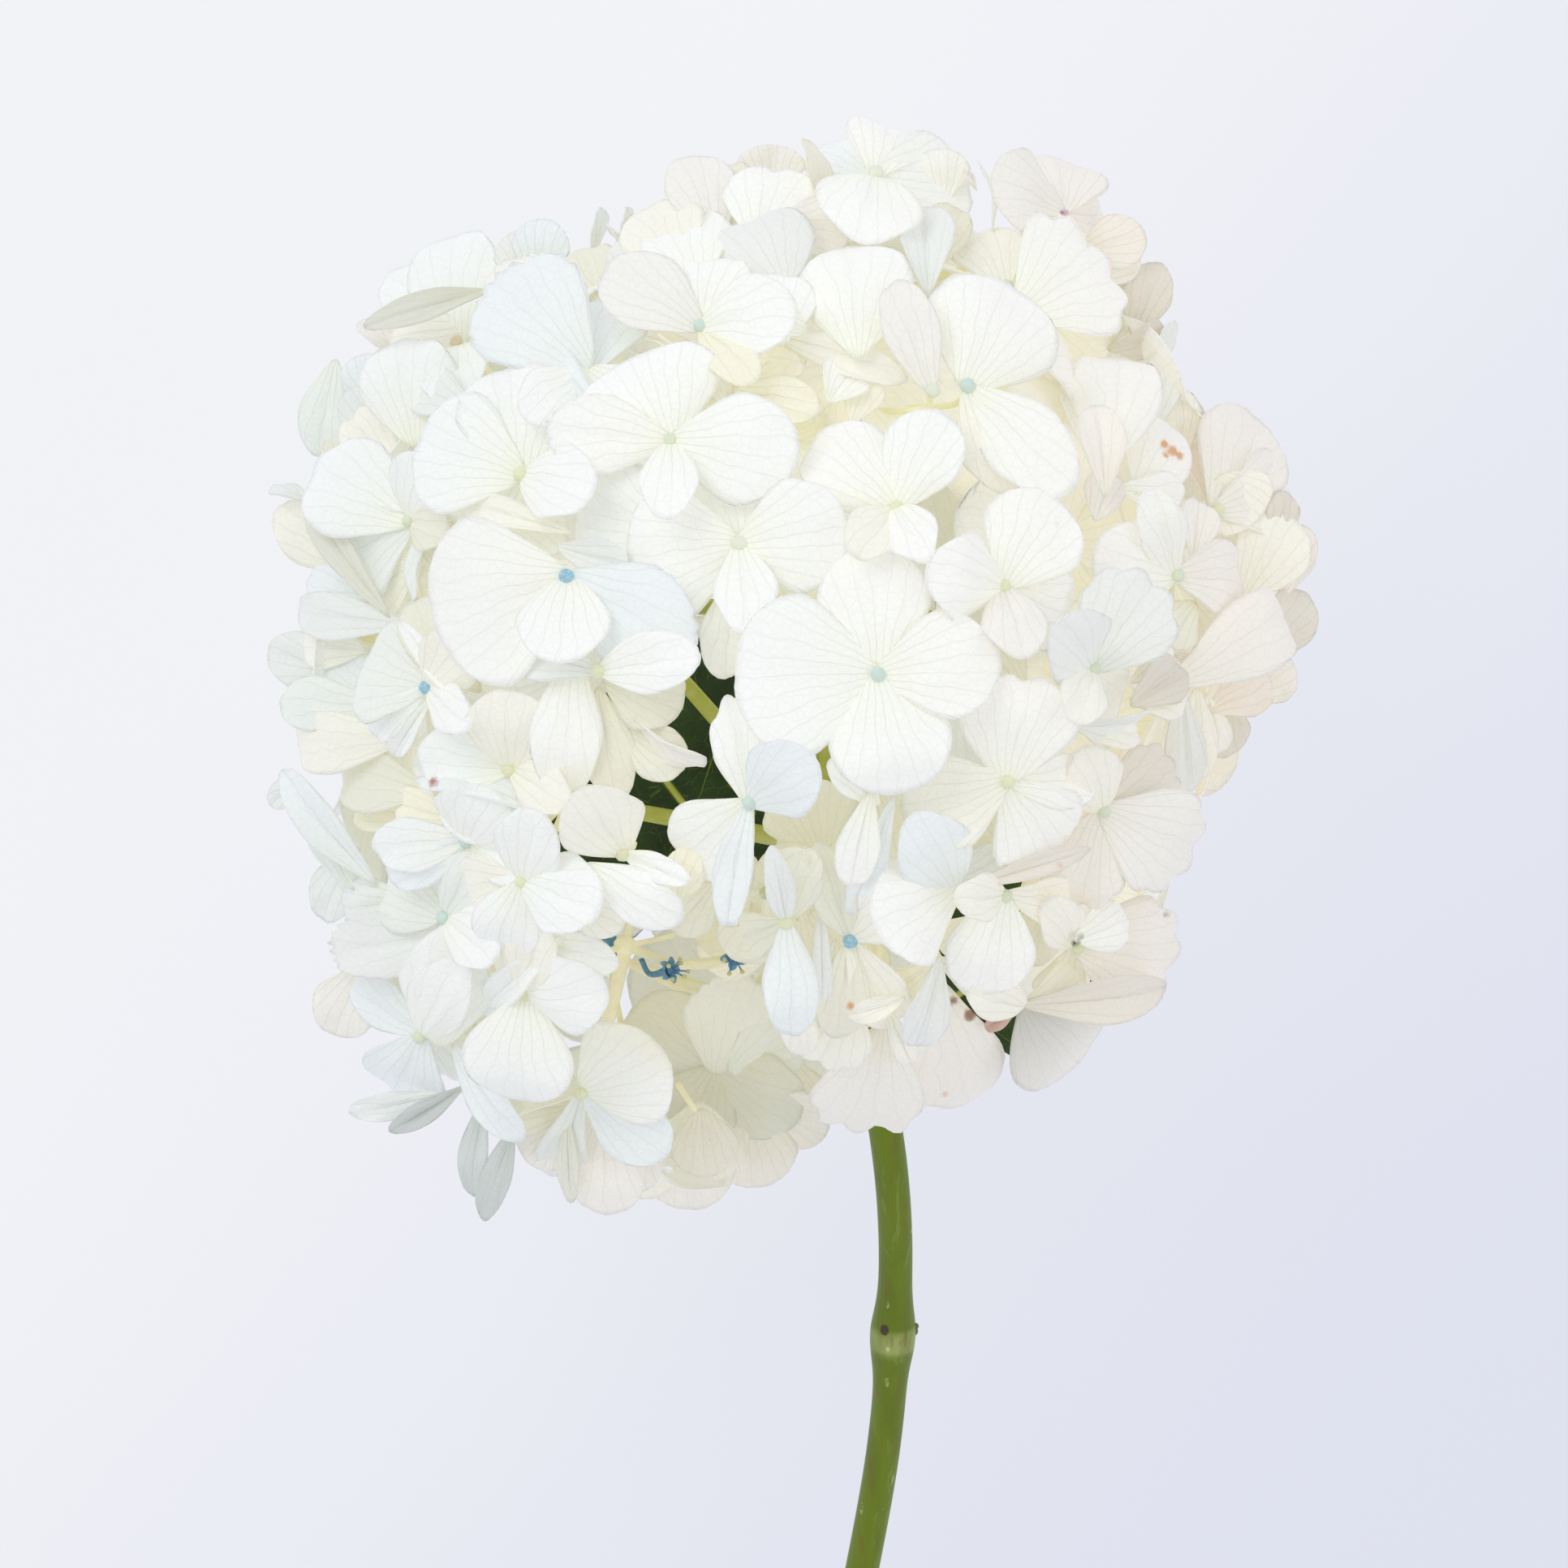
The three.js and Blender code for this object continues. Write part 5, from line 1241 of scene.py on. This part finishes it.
def add_bud(mesh, layers, floret):
    """Round bud in the middle of a floret, with the four seams that it will open along."""
    radius = luck.uniform(*BUD["radius"])
    facing = Vector((0, 0, 1)).rotation_difference(floret["normal"])
    first = luck.uniform(0, 1.5)
    fineness = 3 if floret["fineness"] == SEEN_FINENESS else 2
    ball = bmesh.ops.create_icosphere(mesh, subdivisions=fineness, radius=radius)
    colour = BUD_COLOURS[floret["bud"]]
    for vert in ball["verts"]:
        place = vert.co.copy()
        turn = math.atan2(place.y, place.x) + first
        seam = math.exp(-((math.sin(2 * turn) / 0.3) ** 2)) * smooth(-0.6, 0.3, place.z / radius)
        out = math.hypot(place.x, place.y) / radius
        place *= 1 - BUD["seam"] * seam * smooth(0.0, 0.35, out)
        place.z *= BUD["flatness"]
        vert.co = floret["centre"] + facing @ (place + Vector((0, 0, BUD["rise"])))
        vert.co.z = max(vert.co.z, 0.2)
        vert[layers[1]] = (*mix(colour, HEART_GREEN, 0.45 * seam), 1)


mesh, layers = new_mesh()
for floret in florets:
    if floret["bud"] != "none":
        add_bud(mesh, layers, floret)
finish_piece("buds", mesh, bud_finish(), ["flower_head"])

OLIVE = shade(160, 166, 72)
RAY_CREAM = shade(234, 227, 196)
STALK_CREAM = shade(228, 224, 184)

# Rays: their sizes at root and end as shares of the radius, how far a straight one sags as a share of its
# length, and which are thinner. Then how uneven the knots are, and how wide a stalk is at its floret
RAY_TAPER = (1.25, 0.9)
RAY_SAG = 0.04
THIN_RAYS = {"lower_left": 0.66, "under_left": 0.66}
KNOT_UNEVENNESS = 0.12
STALK_FLARE = 1.35

# Stalks that show in the opening: radius, then column, row and height above the table of their points
SEEN_STALKS = [
    (1.3, [(772, 1160, 96), (762, 1205, 96), (746, 1268, 92)]),
    (0.7, [(772, 1158, 96), (776, 1124, 97), (748, 1098, 100)]),
    (0.5, [(778, 1164, 96), (830, 1152, 95), (872, 1132, 92)]),
    (0.5, [(840, 1188, 92), (900, 1182, 92), (948, 1162, 94)]),
    (0.55, [(1064, 1160, 129), (1070, 1190, 127), (1080, 1228, 124)]),
    (0.55, [(1084, 1162, 128), (1081, 1195, 127), (1076, 1230, 124)]),
    (0.6, [(834, 1334, 60), (846, 1352, 60), (856, 1368, 58)]),
]


def ray_colour(place):
    """Olive where the leaf shows, cream in the open place near the stem."""
    return mix(OLIVE, RAY_CREAM, smooth(-24, -42, place.y + 0.3 * abs(place.x)))


# Stem: from the cut end on the table, through the leaf joint that the photograph shows, to the hub
STEM_POINTS = [
    CUT_END,
    Vector((2, -232, 21)),
    seen_at(1087, 1795, 39),
    SEEN_JOINT,
    seen_at(1103, 1517, 54),
    seen_at(1091, 1391, 60),
    HUB,
]
stem_path = curved_path(STEM_POINTS, 24)
stem_direction = (stem_path[-1] - stem_path[-2]).normalized()

mesh, layers = new_mesh()
hub_path = [HUB + stem_direction * along for along in (-HUB_ROOT, 0, HUB_CROWN, 2 * HUB_CROWN)]
sweep(mesh, layers, hub_path, [HUB_RADIUS * size for size in (0.98, 1, 0.9, 0.6)], 16, OLIVE)
for name, (end, parent, passed) in BRANCHES.items():
    if not parent:
        continue
    start = BRANCHES[parent][0].copy()
    if parent == "hub":
        start += stem_direction * HUB_CROWN
    points = [start, *passed, end]
    if not passed:
        sag = (start + end) / 2 + Vector((0, 0, -1)) * (end - start).length * RAY_SAG
        points.insert(1, sag)
    path = curved_path(points, 5)
    size = RAY_RADIUS * THIN_RAYS.get(name, 1)
    radii = [size * mix(*RAY_TAPER, index / (len(path) - 1)) for index in range(len(path))]
    sweep(mesh, layers, path, radii, 8, ray_colour)
    knot = bmesh.ops.create_icosphere(mesh, subdivisions=2, radius=KNOT_RADIUS)
    for vert in knot["verts"]:
        vert.co = end + vert.co * (1 + KNOT_UNEVENNESS * noise.noise(vert.co))
        vert[layers[1]] = (*ray_colour(vert.co), 1)
for floret in florets:
    bend = bend_of(floret)
    root = BRANCHES[nearest_branch(bend)][0]
    start = floret["centre"] - floret["normal"] * 0.2
    start.z = max(start.z, 1)
    seen = floret["fineness"] == SEEN_FINENESS
    path = curved_path([start, bend, mix(bend, root, 0.6), root], 4 if seen else 2)
    flare = [mix(STALK_FLARE, 1, smooth(0, 0.15, index / (len(path) - 1))) for index in range(len(path))]
    sweep(mesh, layers, path, [PEDICEL_RADIUS * size for size in flare], 7 if seen else 5, STALK_CREAM)
for radius, points in SEEN_STALKS:
    path = curved_path([seen_at(*point) for point in points], 5)
    sweep(mesh, layers, path, [radius] * len(path), 7, RAY_CREAM)
finish_piece("rays", mesh, branch_finish(), ["flower_head"])


# Stem

JOINT_REACH = 6
JOINT_SWELLING = 1.15
HEAD_JOINT_Y = -66
JOINTS = [HEAD_JOINT_Y, SEEN_JOINT.y, -226]
STEM_GREEN = shade(112, 132, 18)
JOINT_GREEN = shade(178, 188, 112)

# Side bud at the joint: column, row and height of its parts, and their radii
SIDE_BUD = [(1120, 1646, 46, 1.3), (1125, 1640, 46, 1.0), (1128, 1634, 46, 0.65)]
BUD_BROWN = shade(110, 112, 70)


def stem_radius(place):
    """Radius of the stem, swollen at its leaf joints."""
    swelling = sum(math.exp(-(((place.y - y) / JOINT_REACH) ** 2)) for y in JOINTS)
    return STEM_RADIUS + JOINT_SWELLING * swelling


def stem_colour(place):
    """Green bark, paler in a crescent on the lower half of the joint."""
    down = SEEN_JOINT.y - place.y + 0.06 * (place.x - SEEN_JOINT.x) ** 2
    return mix(STEM_GREEN, JOINT_GREEN, 0.9 * smooth(-1, 0.2, down) * smooth(4.6, 3.2, down))


mesh, layers = new_mesh()
while (stem_path[-1] - HUB).length < HUB_ROOT + GAP:
    stem_path.pop()
made = sweep(mesh, layers, stem_path, [stem_radius(place) for place in stem_path], 24, stem_colour)
lowest = min(vert.co.z for vert in made)
bmesh.ops.translate(mesh, vec=(0, 0, -lowest), verts=made)
for column, row, height, size in SIDE_BUD:
    add_ball(mesh, layers, seen_at(column, row, height), size, 2, BUD_BROWN)
finish_piece("bark", mesh, stem_finish(), ["stem"])


# Leaves: toothed blades folded a little along their ribs, on short stalks

LEAVES = {
    "leaf_left": {"stand_off": -0.72, "rib": [(-4, -44, 62), (-28, -12, 70), (-50, 20, 76)],
                  "half_width": 27, "narrow_foot": 0.5},
    "leaf_right": {"stand_off": 0.05, "rib": [(36, -56, 63), (50, -45, 67), (64, -34, 71)],
                   "half_width": 20, "narrow_foot": 0},
}
LEAF_STALK_RADIUS = 1.4
# The stalk goes on under the blade as its rib: share of the length, and size as a share of the stalk
RIB_SIZES = [(0, 1), (0.06, 0.9), (0.14, 0.75), (0.3, 0.6), (0.6, 0.42), (0.95, 0.15)]
RIB_DROP = Vector((0, 0, -0.9))
LEAF_TEETH = 17
TOOTH_DEPTH = 0.09
LEAF_FOLD = 0.16
LEAF_WAVE = 1.4
LEAF_THICKNESS = 0.45
LEAST_HALF_WIDTH = 0.7
SIDE_VEINS = 9
SIDE_VEIN_DEPTH = 0.7
RIB_DEPTH = 0.8
# The blade starts at this share of the path, and its veins are drawn as on a blade this long, in cm
BLADE_START = 0.12
BLADE_LENGTH = 8.6


def place_on(path, share):
    """Place and direction at a share of a path's length."""
    lengths = [(after - before).length for before, after in zip(path, path[1:])]
    left = share * sum(lengths)
    for before, after, length in zip(path, path[1:], lengths):
        if left <= length or after is path[-1]:
            return before.lerp(after, left / length), (after - before).normalized()
        left -= length


def leaf_root(stand_off):
    """Point beside the joint under the head, clear of the stem's skin."""
    joint = min(stem_path, key=lambda place: abs(place.y - HEAD_JOINT_Y)).copy()
    joint.x += math.copysign(stem_radius(joint) + GAP, stand_off) + stand_off
    return joint


def add_leaf(mesh, layers, leaf):
    """Blade from a square grid, with coarse teeth, sunken veins and a folded, waved face."""
    points = [leaf_root(leaf["stand_off"]), *(Vector(point) for point in leaf["rib"])]
    path = curved_path(points, 12)
    grid = bmesh.ops.create_grid(mesh, x_segments=64, y_segments=24, size=1)
    for vert in grid["verts"]:
        share = (vert.co.x + 1) / 2
        side = vert.co.y
        middle, along = place_on(path, mix(BLADE_START, 1, share))
        sideways = Vector((0, 0, 1)).cross(along).normalized()
        outline = max(math.sin(math.pi * share ** 0.85), 0) ** 0.8
        tooth = (share * LEAF_TEETH) % 1
        edge = 1 - TOOTH_DEPTH * tooth * smooth(0.5, 1, abs(side))
        if side > 0 and leaf["narrow_foot"]:
            edge *= smooth(0, leaf["narrow_foot"], share)
        width = max(leaf["half_width"] * outline * edge, LEAST_HALF_WIDTH)
        slant = share * SIDE_VEINS - abs(side) * 1.6
        sunken = math.exp(-((((slant + 0.5) % 1 - 0.5) / 0.16) ** 2)) * min(abs(side) * 4, 1)
        wave = LEAF_WAVE * math.sin(share * 9 + side * 2)
        rise = (LEAF_FOLD * width + wave) * abs(side) - SIDE_VEIN_DEPTH * sunken * outline
        rise -= RIB_DEPTH * math.exp(-((side / 0.05) ** 2)) * outline
        vert.co = middle + sideways * (side * width) + Vector((0, 0, rise))
        vert[layers[0]] = Vector((side * width / 10, share * BLADE_LENGTH, 0))
    return path


leaf_green = leaf_finish()
for name, leaf in LEAVES.items():
    mesh, layers = new_mesh()
    path = add_leaf(mesh, layers, leaf)
    blade = finish_piece(f"blade_{name}", mesh, leaf_green, [name])
    give_wall(blade, LEAF_THICKNESS, -1)
    mesh, layers = new_mesh()
    stalk_path = [place_on(path, share)[0] + RIB_DROP for share, _ in RIB_SIZES]
    sweep(mesh, layers, stalk_path, [LEAF_STALK_RADIUS * size for _, size in RIB_SIZES], 10, OLIVE)
    finish_piece(f"rib_{name}", mesh, bpy.data.materials["branch"], [name])


# Fertile flowers: the root of the stalk, its bend and the middle of the cup

FERTILE = {
    "fertile_flower_1": [seen_at(790, 1181, 92.3), seen_at(800, 1200, 93), seen_at(822, 1196, 96)],
    "fertile_flower_2": [seen_at(900, 1173, 90.3), seen_at(902, 1174, 94), seen_at(904, 1178, 97)],
    "fertile_flower_3": [seen_at(766, 1160, 93.9), seen_at(763, 1161, 91.5), seen_at(757, 1164, 90)],
}
FERTILE_BLUE = shade(92, 150, 196)
FERTILE_PALE = shade(142, 186, 214)
ANTHER_CREAM = shade(232, 222, 150)
PETALS = 5
PETAL_THICKNESS = 0.25
PETAL_HALF_WIDTH = 0.75
PETAL_REACH = (0.5, 2.5)
PETAL_ARCH = 0.9
STAMENS = 6
STAMEN_RADIUS = 0.16
STAMEN_LENGTH = (3.2, 4.6)
STAMEN_LEAN = (0.35, 0.8)
ANTHER_RADIUS = 0.5


def spoke(facing, turn):
    """Direction square to a flower's facing, so far round it."""
    across = facing.orthogonal().normalized()
    across.rotate(Matrix.Rotation(turn, 3, facing))
    return across


def add_petal(mesh, layers, cup, facing, turn):
    """Short pointed petal, bent back from the rim of the cup."""
    across = spoke(facing, turn)
    sideways = facing.cross(across)
    grid = bmesh.ops.create_grid(mesh, x_segments=5, y_segments=4, size=1)
    for vert in grid["verts"]:
        share = (vert.co.x + 1) / 2
        half = PETAL_HALF_WIDTH * math.sin(math.pi * min(share * 0.85 + 0.15, 1)) ** 0.7
        out = mix(*PETAL_REACH, share)
        height = PETAL_ARCH * math.sin(share * 2.4) + 0.25 * vert.co.y ** 2
        vert.co = cup + across * out + sideways * vert.co.y * half + facing * height
        vert[layers[1]] = (*mix(FERTILE_BLUE, FERTILE_PALE, share), 1)


def add_stamen(mesh, layers, cup, facing, turn):
    """Fine thread with a small cream tip."""
    across = spoke(facing, turn)
    reach = luck.uniform(*STAMEN_LENGTH)
    lean = luck.uniform(*STAMEN_LEAN)
    end = cup + facing * reach * (1 - lean * 0.4) + across * reach * lean
    middle = mix(cup, end, 0.5) + facing * 0.5
    path = curved_path([cup, middle, end], 3)
    sweep(mesh, layers, path, [STAMEN_RADIUS] * len(path), 5, FERTILE_BLUE)
    add_ball(mesh, layers, end, ANTHER_RADIUS, 1, ANTHER_CREAM)


fertile_blue = fertile_finish()
for name, (root, bend, cup) in FERTILE.items():
    facing = (cup - bend).normalized()
    mesh, layers = new_mesh()
    for petal in range(PETALS):
        add_petal(mesh, layers, cup, facing, petal * 2 * math.pi / PETALS)
    star = finish_piece(f"petals_{name}", mesh, fertile_blue, [name])
    give_wall(star, PETAL_THICKNESS, -1)
    mesh, layers = new_mesh()
    rim = cup + facing * 1.3
    path = curved_path([root, bend, cup, rim], 4)
    radii = [mix(0.5, 1.05, smooth(0.3, 0.85, index / (len(path) - 1))) for index in range(len(path))]
    sweep(mesh, layers, path, radii, 10, FERTILE_BLUE)
    for stamen in range(STAMENS):
        add_stamen(mesh, layers, cup, facing, stamen * 2 * math.pi / STAMENS + luck.uniform(0, 0.5))
    finish_piece(f"stamens_{name}", mesh, fertile_blue, [name])


# Table, light and camera

FLOOR_LIGHT = shade(243, 244, 248)
FLOOR_SHADED = shade(225, 227, 241)
FLOOR_SLOPE = (0.75, -0.65, 0)
FLOOR_GLOW = 0.86
FLOOR_SIZE = 6
SKY_COLOUR = (0.96, 0.98, 1.0, 1)
SKY_STRENGTH = 0.72

# Lamps: place in metres, power in watts and colour
LAMPS = {
    "soft_left": ((-0.9, 0.9, 1.6), 7.4, (0.97, 0.99, 1.0)),
    "soft_right": ((1.3, -0.2, 1.3), 3, (1.0, 0.97, 0.93)),
}
LAMP_AIM = Vector((0, 0, 0.08))
LAMP_SIZE = 1.4
SENSOR_WIDTH = 36


def floor_finish():
    """Pale table top, lighter towards the upper left. It gives off light too, so shadows stay faint."""
    made = Finish("table_top", Roughness=0.9, Specular_IOR_Level=0.1)
    place = made.object_place()
    slope = made.add("ShaderNodeVectorMath", {0: place, 1: FLOOR_SLOPE}, "Value", operation="DOT_PRODUCT")
    pale = made.blend(made.band(slope, -0.1, 0.22), FLOOR_LIGHT, FLOOR_SHADED)
    made.colour(made.blend(FLOOR_GLOW, pale, (0.0, 0.0, 0.0)))
    made.set(made.shader, "Emission Color", pale)
    made.set(made.shader, "Emission Strength", FLOOR_GLOW)
    return made.material


mesh = bmesh.new()
bmesh.ops.create_grid(mesh, x_segments=1, y_segments=1, size=FLOOR_SIZE)
data = bpy.data.meshes.new("table_top")
mesh.to_mesh(data)
mesh.free()
data.materials.append(floor_finish())
table_top = bpy.data.objects.new("table_top", data)
bpy.context.scene.collection.objects.link(table_top)

world = bpy.data.worlds.new("studio")
bpy.context.scene.world = world
world.use_nodes = True
sky = world.node_tree.nodes["Background"]
sky.inputs["Color"].default_value = SKY_COLOUR
sky.inputs["Strength"].default_value = SKY_STRENGTH

for name, (place, power, colour) in LAMPS.items():
    lamp = bpy.data.lights.new(name, "AREA")
    lamp.shape = "DISK"
    lamp.size = LAMP_SIZE
    lamp.energy = power
    lamp.color = colour
    holder = bpy.data.objects.new(name, lamp)
    holder.location = place
    holder.rotation_mode = "QUATERNION"
    holder.rotation_quaternion = (LAMP_AIM - Vector(place)).to_track_quat("-Z", "Y")
    bpy.context.scene.collection.objects.link(holder)

camera_lens = bpy.data.cameras.new("camera")
camera_lens.sensor_width = SENSOR_WIDTH
frame_width = PHOTO_WIDTH * MM_PER_PIXEL
camera_lens.lens = SENSOR_WIDTH * EYE_DISTANCE / frame_width
camera_lens.clip_start = 0.01
camera_lens.clip_end = 50
camera = bpy.data.objects.new("camera", camera_lens)
frame_middle = PHOTO_WIDTH / 2
camera.location = (
    (frame_middle - HEAD_COLUMN) * MM_PER_PIXEL * MM,
    (HEAD_ROW - frame_middle) * MM_PER_PIXEL * MM,
    (HEAD_CENTRE_HEIGHT + EYE_DISTANCE) * MM,
)
bpy.context.scene.collection.objects.link(camera)
bpy.context.scene.camera = camera
bpy.context.scene.view_settings.view_transform = "Standard"
